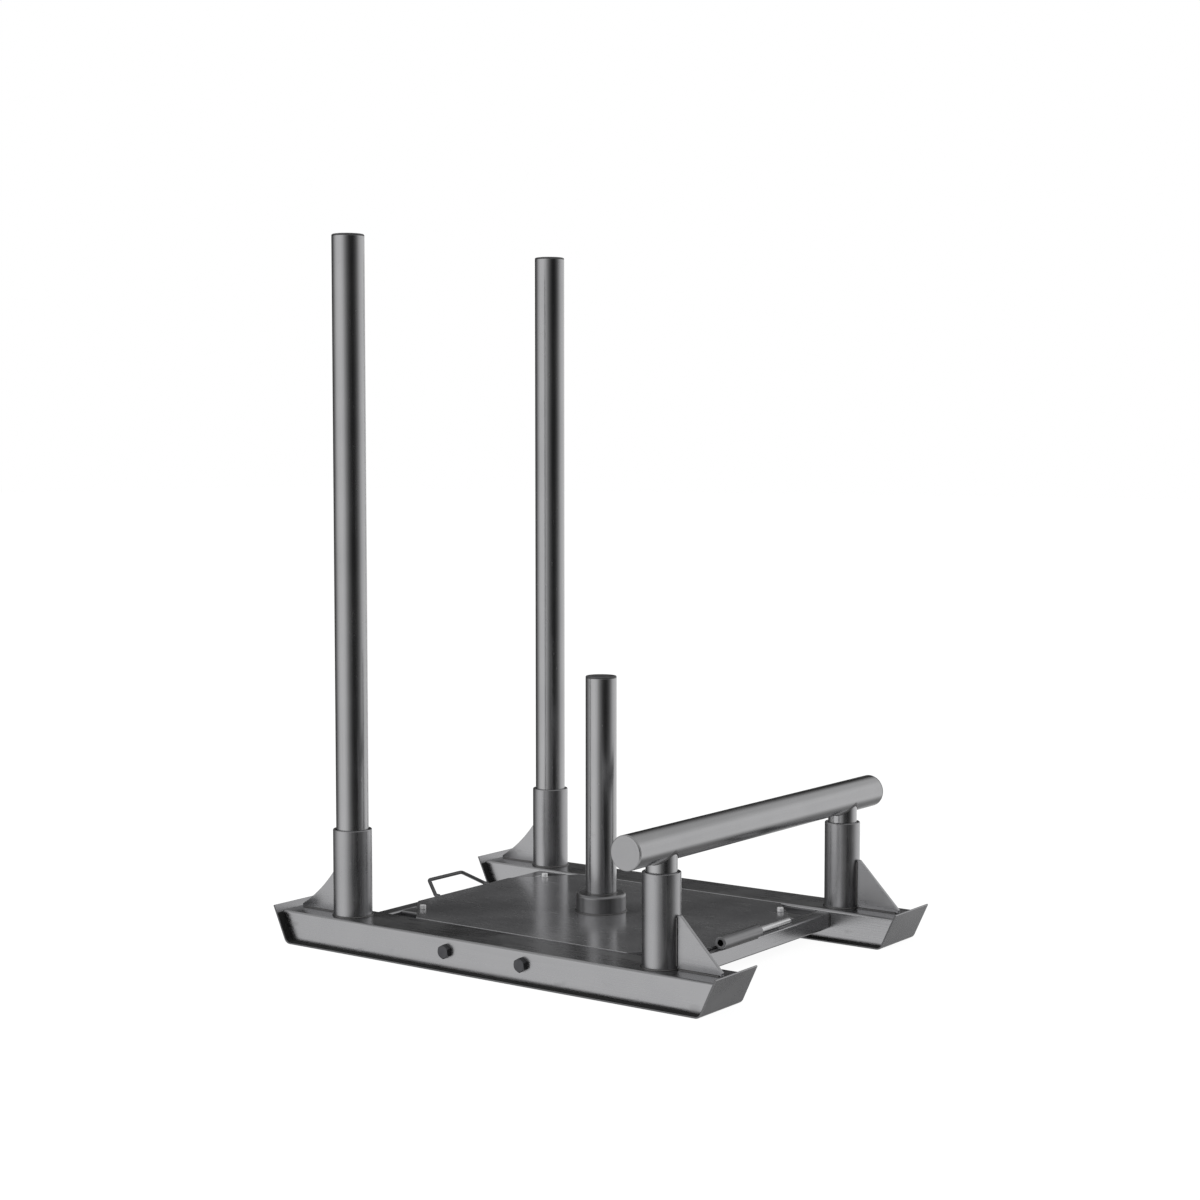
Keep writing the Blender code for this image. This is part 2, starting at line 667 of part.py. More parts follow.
def build_draw_pin():
    """The sleeve that lies on the front cross bar and the pin that slides in it."""
    z = FRAME_TOP + SEAT_GAP + SLEEVE_DIAMETER / 2
    wall = (SLEEVE_DIAMETER - PIN_DIAMETER) / 2 - SEAT_GAP
    turned("pin_sleeve", tube_profile(SLEEVE_DIAMETER, wall, SLEEVE_LENGTH, TUBE_EDGE),
           DARK_STEEL, steps=SMALL_STEPS, closed=True,
           location=(SLEEVE_X, SLEEVE_CENTRE_Y + SLEEVE_LENGTH / 2, z),
           rotation=(math.pi / 2, 0.0, 0.0))
    inset = PIN_DIAMETER / 2 - PIN_EDGE
    profile = [(0.0, PIN_LENGTH)]
    profile += arc_points((inset, PIN_LENGTH - PIN_EDGE), PIN_EDGE, 90, 0, 2)
    profile += arc_points((inset, PIN_EDGE), PIN_EDGE, 0, -90, 2)
    profile.append((0.0, 0.0))
    turned("draw_pin", profile, ZINC_BOLT, steps=SMALL_STEPS,
           location=(SLEEVE_X, SLEEVE_CENTRE_Y + SLEEVE_LENGTH / 2 + PIN_REACH, z),
           rotation=(math.pi / 2, 0.0, 0.0))


def hex_bolt(name, diameter, across_flats, head, length, finish, location, rotation):
    """A hexagon bolt whose head rests on height 0 and points up: a shank joined to a head."""
    middle = Vector((0.0, 0.0, head / 4 - length / 2))
    middle.rotate(Euler(rotation))
    shank = drill(name + "_shank", diameter, length + head / 2, Vector(location) + middle,
                  rotation)
    corner = across_flats / math.sqrt(3)
    shape = bmesh.new()
    bmesh.ops.create_cone(shape, cap_ends=True, segments=6, radius1=corner, radius2=corner,
                          depth=head, matrix=Matrix.Translation((0.0, 0.0, head / 2)))
    top = [edge for edge in shape.edges if all(vert.co.z > head * 0.9 for vert in edge.verts)]
    bmesh.ops.bevel(shape, geom=top, offset=head * BOLT_HEAD_CHAMFER, segments=1,
                    affect="EDGES")
    mesh = bpy.data.meshes.new(name)
    shape.to_mesh(mesh)
    shape.free()
    item = mesh_object(name, mesh, location, rotation)
    union = item.modifiers.new("Shank", "BOOLEAN")
    union.operation = "UNION"
    union.solver = "EXACT"
    union.object = shank
    give_finish(item, finish)


def cap_screw(name, location):
    """A deck screw: a turned head and shank, with a hexagon socket cut in the head."""
    head = DECK_SCREW_HEAD_DIAMETER / 2
    shank = DECK_SCREW_DIAMETER / 2
    length = DECK_THICKNESS + FRAME_BAR_HEIGHT + DECK_NUT_HEIGHT + 3 * SEAT_GAP + BOLT_END
    profile = [
        (0.0, DECK_SCREW_HEAD),
        (head - DECK_SCREW_EDGE, DECK_SCREW_HEAD),
        (head, DECK_SCREW_HEAD - DECK_SCREW_EDGE),
        (head, 0.0),
        (shank, 0.0),
        (shank, -length),
        (0.0, -length),
    ]
    screw = turned(name, profile, ZINC_BOLT, steps=SMALL_STEPS, location=location)
    centre = Vector(location) + Vector((0.0, 0.0, DECK_SCREW_HEAD))
    socket_width = 2 * DECK_SCREW_SOCKET / math.sqrt(3)
    cut(screw, drill(name + "_socket", socket_width, 2 * DECK_SCREW_SOCKET_DEPTH, centre,
                     (0.0, 0.0, 0.0), 6))


def hex_nut(name, diameter, across_flats, height, location, rotation, finish):
    """A hexagon nut, centred on its location."""
    bore = circle((0.0, 0.0), diameter + 2 * HOLE_CLEARANCE)
    flat_outline(name, [hexagon(across_flats), bore], height, finish, location, rotation)


def build_fasteners():
    """The bolts through the skis and the screws through the deck, each with its nut."""
    side_length = BODY_WIDTH + 2 * SEAT_GAP + SIDE_BAR_THICKNESS + SIDE_NUT_HEIGHT
    side_length += 2 * SEAT_GAP + BOLT_END
    nut_y = FRAME_HALF_WIDTH - SIDE_BAR_THICKNESS - SEAT_GAP - SIDE_NUT_HEIGHT / 2
    ends = {"front": 1, "rear": -1}
    for side, sign in SIDES.items():
        for end, sign_x in ends.items():
            x = sign_x * SIDE_BOLT_X
            hex_bolt(f"side_bolt_{side}_{end}", SIDE_BOLT_DIAMETER, SIDE_BOLT_ACROSS_FLATS,
                     SIDE_BOLT_HEAD, side_length, BLACK_BOLT,
                     (x, sign * (SKI_OUTER_Y + SEAT_GAP), SIDE_BOLT_RISE),
                     (-sign * math.pi / 2, 0.0, 0.0))
            hex_nut(f"side_nut_{side}_{end}", SIDE_BOLT_DIAMETER, SIDE_BOLT_ACROSS_FLATS,
                    SIDE_NUT_HEIGHT, (x, sign * nut_y, SIDE_BOLT_RISE),
                    (math.pi / 2, 0.0, 0.0), BLACK_BOLT)
            deck_x = sign_x * DECK_SCREW_X
            y = sign * BEARER_Y
            cap_screw(f"deck_screw_{side}_{end}", (deck_x, y, DECK_TOP + SEAT_GAP))
            hex_nut(f"deck_nut_{side}_{end}", DECK_SCREW_DIAMETER, DECK_NUT_ACROSS_FLATS,
                    DECK_NUT_HEIGHT,
                    (deck_x, y, FRAME_BOTTOM - SEAT_GAP - DECK_NUT_HEIGHT / 2),
                    (0.0, 0.0, 0.0), ZINC_BOLT)


def side_bolt_drills():
    """Cutters for the bolt holes that run through both skis and both side bars."""
    length = SKI_TRACK + 2 * BODY_WIDTH
    diameter = SIDE_BOLT_DIAMETER + 2 * HOLE_CLEARANCE
    return [drill("side_drill_" + end, diameter, length, (sign * SIDE_BOLT_X, 0.0, SIDE_BOLT_RISE),
                  (math.pi / 2, 0.0, 0.0)) for end, sign in (("front", 1), ("rear", -1))]


def deck_screw_drills(sign_y):
    """Cutters for the screw holes through one deck bearer."""
    diameter = DECK_SCREW_DIAMETER + 2 * HOLE_CLEARANCE
    z = (FRAME_TOP + FRAME_BOTTOM) / 2
    return [drill(f"deck_drill_{sign_x}_{sign_y}", diameter, 2 * FRAME_BAR_HEIGHT,
                  (sign_x * DECK_SCREW_X, sign_y * BEARER_Y, z), (0.0, 0.0, 0.0))
            for sign_x in (-1, 1)]


clear_scene()
MODEL = new_collection("sled_track_machine")
CUTTERS = new_collection("cutters")
SIDE_DRILLS = side_bolt_drills()
DECK_DRILLS = deck_screw_drills(1) + deck_screw_drills(-1)
build_skis(SIDE_DRILLS)
build_frame(SIDE_DRILLS, DECK_DRILLS)
build_deck()
build_weight_post()
build_push_poles()
build_push_handle()
build_tow_loop()
build_draw_pin()
build_fasteners()
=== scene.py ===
"""Looks of a push and pull sled on two steel skis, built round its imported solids.

Each sub-assembly is a class that holds its sizes and models its pieces with Blender's mesh
operators. The finishes are procedural. Units are metres, +Z is up, +X is the end with the low
handle, and +Y is the left side seen from behind the push poles.
"""
from __future__ import annotations

import json
import logging
import math
from dataclasses import dataclass
from enum import Enum
from typing import Callable, Sequence

import bmesh
import bpy
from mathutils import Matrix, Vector

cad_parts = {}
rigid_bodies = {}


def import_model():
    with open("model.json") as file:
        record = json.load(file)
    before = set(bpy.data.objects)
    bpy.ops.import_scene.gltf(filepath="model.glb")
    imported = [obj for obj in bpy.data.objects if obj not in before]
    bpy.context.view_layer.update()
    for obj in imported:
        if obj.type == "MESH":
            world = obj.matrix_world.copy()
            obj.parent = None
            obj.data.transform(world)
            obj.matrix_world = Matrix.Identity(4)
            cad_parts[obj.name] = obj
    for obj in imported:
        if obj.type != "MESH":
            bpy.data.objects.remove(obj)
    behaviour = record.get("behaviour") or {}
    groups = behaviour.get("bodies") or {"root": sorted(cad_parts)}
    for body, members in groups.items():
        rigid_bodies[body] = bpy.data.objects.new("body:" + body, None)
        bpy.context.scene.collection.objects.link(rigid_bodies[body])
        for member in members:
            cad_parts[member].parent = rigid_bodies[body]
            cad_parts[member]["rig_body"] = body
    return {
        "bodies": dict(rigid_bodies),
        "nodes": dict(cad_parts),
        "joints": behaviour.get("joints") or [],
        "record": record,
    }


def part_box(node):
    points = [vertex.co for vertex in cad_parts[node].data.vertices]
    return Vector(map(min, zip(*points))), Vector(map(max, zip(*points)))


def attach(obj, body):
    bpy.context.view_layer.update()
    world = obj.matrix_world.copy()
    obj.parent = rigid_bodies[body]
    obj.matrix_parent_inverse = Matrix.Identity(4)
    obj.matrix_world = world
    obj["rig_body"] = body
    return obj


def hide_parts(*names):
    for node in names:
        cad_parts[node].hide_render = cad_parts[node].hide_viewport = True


MeshObject = bpy.types.Object
NodeSocket = bpy.types.NodeSocket
Point = Sequence[float]
Colour = Sequence[float]
Stops = tuple[tuple[float, float], ...]

LOG = logging.getLogger("sled")
UP = Vector((0.0, 0.0, 1.0))
LEFTWARD = Vector((0.0, 1.0, 0.0))

# A vert this near a plane lies on it.
NEAR = 0.0001
# Verts this near each other become one, and edges shorter than this are dissolved.
MERGE = 0.00001
# How far a cutter reaches past what it cuts.
OVERSHOOT = 0.01
# Gap that lets one piece sit in or on another.
FIT_GAP = 0.0003
# The least part of a face's normal along an axis, where the face looks along that axis.
FACING = 0.9
# Sockets of a Mix node that mixes colours.
MIX_FIRST, MIX_SECOND, MIX_RESULT = 6, 7, 2


class Side(Enum):
    """The two sides of the sled, each with the sign of its Y."""

    LEFT = 1
    RIGHT = -1

    @property
    def word(self) -> str:
        """The side's name, as the nodes have it."""
        return self.name.lower()

    @classmethod
    def nodes(cls, stem: str) -> list[str]:
        """The names of a left node and its right twin."""
        return [f"{stem}_{side.word}" for side in cls]


class End(Enum):
    """The two ends of the sled, each with the sign of its X."""

    FRONT = 1
    REAR = -1

    @property
    def word(self) -> str:
        """The end's name, as the nodes have it."""
        return self.name.lower()


class Grain(Enum):
    """The way a metal's drawing or rolling lines run, as the pattern's scale on each axis."""

    ALONG_X = (3.0, 150.0, 150.0)
    ALONG_Y = (150.0, 3.0, 150.0)
    ALONG_Z = (150.0, 150.0, 3.0)
    NONE = (40.0, 40.0, 40.0)


class Wiring:
    """Adds nodes to one node tree and joins them."""

    def __init__(self, tree: bpy.types.NodeTree) -> None:
        """Take the tree that the nodes go into."""
        self.tree = tree

    def add(self, kind: str) -> bpy.types.Node:
        """A new node of one kind."""
        return self.tree.nodes.new(f"ShaderNode{kind}")

    def join(self, source: NodeSocket, target: NodeSocket) -> None:
        """Link one socket to another."""
        self.tree.links.new(source, target)

    def between(self, value: NodeSocket, source: Sequence[float],
                target: Sequence[float] = (0.0, 1.0), soft: bool = False) -> NodeSocket:
        """Map a value from one range to another, held at its ends.

        Args:
            value: The value.
            source: The two values that come in at the range's ends.
            target: What they become.
            soft: Whether the change eases in and out.

        Returns:
            The mapped value.
        """
        node = self.add("MapRange")
        if soft:
            node.interpolation_type = "SMOOTHSTEP"
        for name, end in zip(("From Min", "From Max", "To Min", "To Max"), (*source, *target)):
            node.inputs[name].default_value = end
        self.join(value, node.inputs["Value"])
        return node.outputs["Result"]

    def blend(self, share: NodeSocket, first: Colour | NodeSocket,
              second: Colour | NodeSocket) -> NodeSocket:
        """Mix two colours.

        Args:
            share: How much of the second colour shows.
            first: The first colour, or a socket that gives it.
            second: The second colour, or a socket that gives it.

        Returns:
            The colour socket.
        """
        node = self.add("Mix")
        node.data_type = "RGBA"
        self.join(share, node.inputs["Factor"])
        for colour, place in ((first, MIX_FIRST), (second, MIX_SECOND)):
            if isinstance(colour, NodeSocket):
                self.join(colour, node.inputs[place])
            else:
                node.inputs[place].default_value = (*colour, 1.0)
        return node.outputs[MIX_RESULT]

    def math(self, kind: str, first: NodeSocket, second: NodeSocket | float) -> NodeSocket:
        """One sum on two values.

        Args:
            kind: Name of the operation.
            first: First value.
            second: Second value.

        Returns:
            The result.
        """
        node = self.add("Math")
        node.operation = kind
        self.join(first, node.inputs[0])
        if isinstance(second, NodeSocket):
            self.join(second, node.inputs[1])
        else:
            node.inputs[1].default_value = second
        return node.outputs["Value"]

    def weighted(self, first: NodeSocket, second: NodeSocket, share: float) -> NodeSocket:
        """Two values added, the first by its share and the second by the rest."""
        return self.math("ADD", self.math("MULTIPLY", first, share),
                         self.math("MULTIPLY", second, 1.0 - share))

    def output(self, kind: str, seen: NodeSocket, unseen: NodeSocket) -> None:
        """Show the camera one shader and all other rays another.

        Args:
            kind: Kind of the output, Material or World.
            seen: Shader that the camera sees.
            unseen: Shader that light and reflections see.
        """
        mix = self.add("MixShader")
        self.join(self.add("LightPath").outputs["Is Camera Ray"], mix.inputs["Fac"])
        self.join(unseen, mix.inputs[1])
        self.join(seen, mix.inputs[2])
        self.join(mix.outputs[0], self.add(f"Output{kind}").inputs["Surface"])


class Surface(Wiring):
    """The nodes of one new material.

    Attributes:
        POINTED: Pointiness from which an edge shows as worn, and at which it is wholly worn.
    """

    POINTED = (0.515, 0.58)

    def __init__(self, name: str) -> None:
        """Start a material with a plain shader.

        Args:
            name: Name of the material.
        """
        self.material = bpy.data.materials.new(name)
        self.material.use_nodes = True
        super().__init__(self.material.node_tree)
        self.shader = self.tree.nodes["Principled BSDF"]
        self.place = self.add("TexCoord").outputs["Object"]

    def stretched(self, scale: Sequence[float], turn: float = 0.0) -> NodeSocket:
        """Object coordinates, stretched and turned for a pattern.

        Args:
            scale: Scale on each axis.
            turn: Turn about each axis in radians.

        Returns:
            The vector socket.
        """
        node = self.add("Mapping")
        node.inputs["Scale"].default_value = tuple(scale)
        node.inputs["Rotation"].default_value = (turn, turn, turn)
        self.join(self.place, node.inputs["Vector"])
        return node.outputs["Vector"]

    def noise(self, vector: NodeSocket, scale: float, detail: float) -> NodeSocket:
        """A noise pattern.

        Args:
            vector: Where the pattern reads its place.
            scale: Scale of the pattern.
            detail: Number of finer layers.

        Returns:
            The value socket.
        """
        node = self.add("TexNoise")
        node.inputs["Scale"].default_value = scale
        node.inputs["Detail"].default_value = detail
        self.join(vector, node.inputs["Vector"])
        return node.outputs["Fac"]

    def bump(self, height: NodeSocket, strength: float, distance: float) -> None:
        """Raise the surface by a pattern.

        Args:
            height: The pattern.
            strength: How much of it shows.
            distance: How high it stands, in metres.
        """
        node = self.add("Bump")
        node.inputs["Strength"].default_value = strength
        node.inputs["Distance"].default_value = distance
        self.join(height, node.inputs["Height"])
        self.join(node.outputs["Normal"], self.shader.inputs["Normal"])

    def edges(self) -> NodeSocket:
        """How far a place is an outer edge, from 0 to 1."""
        return self.between(self.add("NewGeometry").outputs["Pointiness"], self.POINTED)


@dataclass(frozen=True)
class Metal:
    """A metal surface with grain, clouding, fine scratches and brighter edges.

    Attributes:
        name: Name of the record's slot, and after a point that of a finish of its own.
        dark: Darker of its two shades.
        light: Lighter of its two shades.
        worn: Shade of its outer edges.
        gloss: Roughness where it is smoothest and where it is dullest.
        depth: How high the grain stands, in metres.
        scratch: How much the scratches dull it.
        metallic: How far it mirrors as bare metal does.
    """

    name: str
    dark: Colour
    light: Colour
    worn: Colour
    gloss: Sequence[float]
    depth: float = 0.00002
    scratch: float = 0.08
    metallic: float = 1.0

    def material(self, grain: Grain) -> bpy.types.Material:
        """The finish as a material.

        Args:
            grain: The way its lines run.

        Returns:
            The material, made once for each grain.
        """
        name = f"{self.name}_{grain.name.lower()}"
        known = bpy.data.materials.get(name)
        if known:
            return known
        surface = Surface(name)
        shader = surface.shader
        shader.inputs["Metallic"].default_value = self.metallic
        lines = surface.noise(surface.stretched(grain.value), scale=3.0, detail=4.0)
        clouds = surface.noise(surface.place, scale=14.0, detail=5.0)
        marks = surface.noise(surface.stretched((22.0, 420.0, 60.0), turn=0.5),
                              scale=1.0, detail=2.0)
        scratches = surface.between(marks, (0.66, 0.72))
        shade = surface.between(surface.weighted(lines, clouds, share=0.35), (0.36, 0.64))
        worn = surface.math("MULTIPLY", surface.edges(), 0.25)
        colour = surface.blend(worn, surface.blend(shade, self.dark, self.light), self.worn)
        surface.join(colour, shader.inputs["Base Color"])
        gloss = surface.between(surface.weighted(lines, clouds, share=0.5), (0.38, 0.62),
                                self.gloss)
        dulled = surface.math("MULTIPLY", scratches, self.scratch)
        surface.join(surface.math("ADD", gloss, dulled), shader.inputs["Roughness"])
        grooves = surface.math("MULTIPLY", scratches, 0.5)
        surface.bump(surface.math("SUBTRACT", lines, grooves), strength=0.12,
                     distance=self.depth)
        return surface.material


@dataclass(frozen=True)
class Moulded:
    """A rubber surface with a fine pebbled grain and dusty patches.

    Attributes:
        name: Name of the finish, and of the record's slot.
        base: Its shade.
        dusty: Its shade where dust sits.
        gloss: Roughness where it is smoothest and where it is dullest.
        pebble: Scale of the pebbling.
        depth: How high the pebbling stands, in metres.
    """

    name: str
    base: Colour
    dusty: Colour
    gloss: Sequence[float]
    pebble: float
    depth: float

    def material(self, grain: Grain) -> bpy.types.Material:
        """The finish as a material.

        Args:
            grain: Not used, as a moulding has no grain.

        Returns:
            The material, made once.
        """
        known = bpy.data.materials.get(self.name)
        if known:
            return known
        surface = Surface(self.name)
        clouds = surface.noise(surface.place, scale=22.0, detail=4.0)
        pebbles = surface.noise(surface.place, self.pebble, detail=2.0)
        spots = surface.between(clouds, (0.42, 0.70))
        surface.join(surface.blend(spots, self.base, self.dusty),
                     surface.shader.inputs["Base Color"])
        surface.join(surface.between(clouds, (0.35, 0.65), self.gloss),
                     surface.shader.inputs["Roughness"])
        surface.bump(pebbles, strength=0.5, distance=self.depth)
        return surface.material


Finish = Metal | Moulded

SATIN_STEEL = Metal("satin_steel", dark=(0.342, 0.342, 0.352), light=(0.392, 0.392, 0.40),
                    worn=(0.54, 0.54, 0.55), gloss=(0.24, 0.34))
# Weld beads, darker than the steel they join: their tone is partly the weld's own and partly
# painted shade at the joints, such as the feet of the sockets and gussets.
WELD_WITH_PAINTED_SHADE = Metal("satin_steel.weld", dark=(0.11, 0.108, 0.11), light=(0.18, 0.176, 0.176),
                   worn=(0.28, 0.28, 0.28), gloss=(0.32, 0.46), depth=0.00004)
# Dark steel for the shoe's side edges: painted shade, standing in for the shadowed band along the
# foot of each ski.
SHADED_SHOE_EDGE = Metal("satin_steel.cut_edge", dark=(0.13, 0.13, 0.134), light=(0.18, 0.18, 0.184),
                 worn=(0.26, 0.26, 0.265), gloss=(0.34, 0.46))
BRIGHT_TUBE = Metal("bright_tube", dark=(0.368, 0.368, 0.375), light=(0.408, 0.408, 0.414),
                    worn=(0.56, 0.56, 0.57), gloss=(0.17, 0.24), depth=0.000012, scratch=0.06)
DARK_PLATE = Metal("dark_plate", dark=(0.305, 0.305, 0.315), light=(0.36, 0.36, 0.37),
                   worn=(0.50, 0.50, 0.51), gloss=(0.15, 0.23), depth=0.00001, scratch=0.12,
                   metallic=0.70)
DARK_STEEL = Metal("dark_steel", dark=(0.22, 0.22, 0.226), light=(0.29, 0.29, 0.296),
                   worn=(0.44, 0.44, 0.45), gloss=(0.28, 0.40))
ROD_STEEL = Metal("dark_steel.rod", dark=(0.10, 0.10, 0.104), light=(0.15, 0.15, 0.154),
                  worn=(0.26, 0.26, 0.265), gloss=(0.30, 0.42))
BLACK_BOLT = Metal("black_bolt", dark=(0.045, 0.045, 0.05), light=(0.085, 0.085, 0.09),
                   worn=(0.26, 0.26, 0.27), gloss=(0.26, 0.42))
# Near-white and mostly not metallic, so that the deck screw heads show bright under the lamps: a
# painted highlight in place of their glints.
ZINC_WITH_PAINTED_GLINT = Metal("zinc_bolt", dark=(0.86, 0.86, 0.87), light=(0.93, 0.93, 0.93),
                  worn=(0.95, 0.95, 0.95), gloss=(0.30, 0.42), metallic=0.25)
PIN_STEEL = Metal("zinc_bolt.pin", dark=(0.62, 0.62, 0.63), light=(0.70, 0.70, 0.71),
                  worn=(0.82, 0.82, 0.82), gloss=(0.22, 0.32), depth=0.00001, scratch=0.06,
                  metallic=0.85)
GREY_PLASTIC = Metal("grey_plastic", dark=(0.35, 0.35, 0.358), light=(0.40, 0.40, 0.406),
                     worn=(0.50, 0.50, 0.505), gloss=(0.30, 0.42), depth=0.00001,
                     scratch=0.05, metallic=0.88)
# A darker copy of the grey plastic for the plugs that face up: painted shade on their upward
# faces.
PLASTIC_WITH_PAINTED_SHADE = Metal("grey_plastic.dark", dark=(0.075, 0.075, 0.078),
                     light=(0.115, 0.115, 0.118), worn=(0.20, 0.20, 0.205),
                     gloss=(0.30, 0.42), depth=0.00001, scratch=0.05, metallic=0.6)
BLACK_RUBBER = Moulded("black_rubber", base=(0.006, 0.006, 0.007), dusty=(0.016, 0.016, 0.017),
                       gloss=(0.30, 0.44), pebble=900.0, depth=0.00006)


class Bench:
    """The modelling steps that the pieces share."""

    @staticmethod
    def done() -> None:
        """Leave edit mode."""
        bpy.ops.object.mode_set(mode="OBJECT")

    @staticmethod
    def clear() -> None:
        """Leave edit mode, if it is on, and deselect everything."""
        active = bpy.context.view_layer.objects.active
        if active and active.mode != "OBJECT":
            Bench.done()
        bpy.ops.object.select_all(action="DESELECT")

    @staticmethod
    def named(name: str) -> MeshObject:
        """Name the new active object, and put its place into its mesh.

        Args:
            name: Name of the object.

        Returns:
            The object.
        """
        item = bpy.context.object
        item.name = name
        item.data.name = name
        bpy.ops.object.transform_apply(location=True, rotation=True, scale=True)
        return item

    @staticmethod
    def activate(item: MeshObject) -> None:
        """Make one object the only selected and active one.

        Args:
            item: The object.
        """
        Bench.clear()
        item.select_set(True)
        bpy.context.view_layer.objects.active = item

    @staticmethod
    def edit(item: MeshObject, kind: str) -> None:
        """Open an object for editing of its verts, edges or faces, all selected.

        Args:
            item: The object.
            kind: VERT, EDGE or FACE.
        """
        Bench.activate(item)
        bpy.ops.object.mode_set(mode="EDIT")
        bpy.ops.mesh.select_mode(type=kind)
        bpy.ops.mesh.select_all(action="SELECT")

    @staticmethod
    def pick(item: MeshObject, kind: str, test: Callable[[object], bool]) -> None:
        """Open an object for editing, with only what passes a test selected.

        Args:
            item: The object.
            kind: VERT, EDGE or FACE.
            test: Says whether a vert, edge or face is wanted.
        """
        Bench.edit(item, kind)
        bpy.ops.mesh.select_all(action="DESELECT")
        shape = bmesh.from_edit_mesh(item.data)
        wanted = {"VERT": shape.verts, "EDGE": shape.edges, "FACE": shape.faces}[kind]
        for element in wanted:
            if test(element):
                element.select = True
        shape.select_flush_mode()
        bmesh.update_edit_mesh(item.data)

    @staticmethod
    def pick_rim(item: MeshObject, place: Vector, outward: Vector) -> None:
        """Open an object for editing, with the edges selected that lie on one end's plane."""
        Bench.pick(item, "EDGE", lambda edge: all(
            (vert.co - place).dot(outward) > -NEAR for vert in edge.verts))

    @staticmethod
    def round_rim(item: MeshObject, place: Vector, outward: Vector, width: float,
                  segments: int) -> None:
        """Bevel the edges of one end.

        Args:
            item: The object.
            place: A point on the end's plane.
            outward: The way that the end looks.
            width: Width of the bevel.
            segments: Steps of the bevel.
        """
        Bench.pick_rim(item, place, outward)
        bpy.ops.mesh.bevel(offset=width, segments=segments, affect="EDGES")
        Bench.done()

    @staticmethod
    def extrude(shift: Vector) -> None:
        """Extrude what is selected and move it."""
        bpy.ops.mesh.extrude_region_move(TRANSFORM_OT_translate={"value": shift})

    @staticmethod
    def remove_faces(item: MeshObject, axis: Vector, both: bool = True) -> None:
        """Delete the faces that look along an axis.

        Args:
            item: The object.
            axis: The axis.
            both: Whether those that look the other way go too.
        """
        Bench.pick(item, "FACE", lambda face: (
            abs(face.normal.dot(axis)) if both else face.normal.dot(axis)) > FACING)
        bpy.ops.mesh.delete(type="FACE")
        Bench.done()

    @staticmethod
    def bar(name: str, low: Point, high: Point) -> MeshObject:
        """A block between two corners, to be shaped.

        Args:
            name: Name of the object.
            low: Lowest corner.
            high: Highest corner.

        Returns:
            The block.
        """
        Bench.clear()
        first, last = Vector(low), Vector(high)
        bpy.ops.mesh.primitive_cube_add(size=1.0, location=(first + last) / 2)
        bpy.context.object.scale = last - first
        return Bench.named(name)

    @staticmethod
    def round_bar(name: str, low: Point, high: Point, radius: float, steps: int = 96,
                  capped: bool = True) -> MeshObject:
        """A round bar, or an open round sheet, between two points on its axis.

        Args:
            name: Name of the object.
            low: Where the axis starts.
            high: Where the axis ends.
            radius: Its radius.
            steps: Number of sides.
            capped: Whether its ends are closed.

        Returns:
            The bar.
        """
        Bench.clear()
        first, last = Vector(low), Vector(high)
        axis = last - first
        bpy.ops.mesh.primitive_cylinder_add(
            vertices=steps, radius=radius, depth=axis.length, location=(first + last) / 2,
            rotation=axis.to_track_quat("Z", "Y").to_euler(),
            end_fill_type="NGON" if capped else "NOTHING")
        return Bench.named(name)

    @staticmethod
    def copy(item: MeshObject, place: Place) -> MeshObject:
        """A copy of a piece with a mesh of its own.

        Args:
            item: The piece.
            place: Where the copy goes.

        Returns:
            The copy.
        """
        Bench.activate(item)
        bpy.ops.object.duplicate(linked=False)
        shift = Vector(place.shift)
        if place.pivot is not None:
            bpy.context.object.rotation_euler = (0.0, 0.0, math.pi)
            shift += Vector((2 * place.pivot.x, 2 * place.pivot.y, 0.0))
        bpy.context.object.location = shift
        return Bench.named(place.name)

    @staticmethod
    def modify(item: MeshObject, kind: str, **settings: object) -> None:
        """Give an object a modifier and apply it.

        Args:
            item: The object.
            kind: Kind of the modifier.
            settings: Its settings.
        """
        Bench.activate(item)
        modifier = item.modifiers.new(kind.title(), kind)
        for key, value in settings.items():
            setattr(modifier, key, value)
        bpy.ops.object.modifier_apply(modifier=modifier.name)

    @staticmethod
    def break_edges(item: MeshObject, width: float, segments: int = 2,
                    angle: float = 40.0) -> None:
        """Round an object's edges that are sharper than an angle, which is in degrees."""
        Bench.modify(item, "BEVEL", width=width, segments=segments, limit_method="ANGLE",
                     angle_limit=math.radians(angle), use_clamp_overlap=True)

    @staticmethod
    def thicken(item: MeshObject, thickness: float, outward: Vector,
                offset: float = -1.0) -> None:
        """Give an open sheet its thickness, behind the side that faces outward.

        Args:
            item: The sheet.
            thickness: Its thickness.
            outward: The way its largest face has to look.
            offset: Where the thickness goes: -1 is behind the sheet, 0 is on both sides.
        """
        Bench.edit(item, "FACE")
        bpy.ops.mesh.remove_doubles(threshold=MERGE)
        bpy.ops.mesh.normals_make_consistent(inside=False)
        Bench.done()
        largest = max(item.data.polygons, key=lambda face: face.area)
        if largest.normal.dot(outward) < 0:
            Bench.edit(item, "FACE")
            bpy.ops.mesh.flip_normals()
            Bench.done()
        Bench.modify(item, "SOLIDIFY", thickness=thickness, offset=offset, use_even_offset=True)

    @staticmethod
    def cut(item: MeshObject, cutter: MeshObject, operation: str = "DIFFERENCE") -> None:
        """Change an object by a DIFFERENCE, UNION or INTERSECT with a second, which is used up."""
        Bench.modify(item, "BOOLEAN", operation=operation, solver="EXACT", object=cutter)
        bpy.data.objects.remove(cutter, do_unlink=True)

    @staticmethod
    def close(item: MeshObject) -> None:
        """Fill the open ends of an object and point its faces outward.

        Args:
            item: The object.
        """
        Bench.edit(item, "EDGE")
        bpy.ops.mesh.remove_doubles(threshold=MERGE)
        bpy.ops.mesh.fill_holes(sides=0)
        bpy.ops.mesh.select_all(action="SELECT")
        bpy.ops.mesh.normals_make_consistent(inside=False)
        Bench.done()

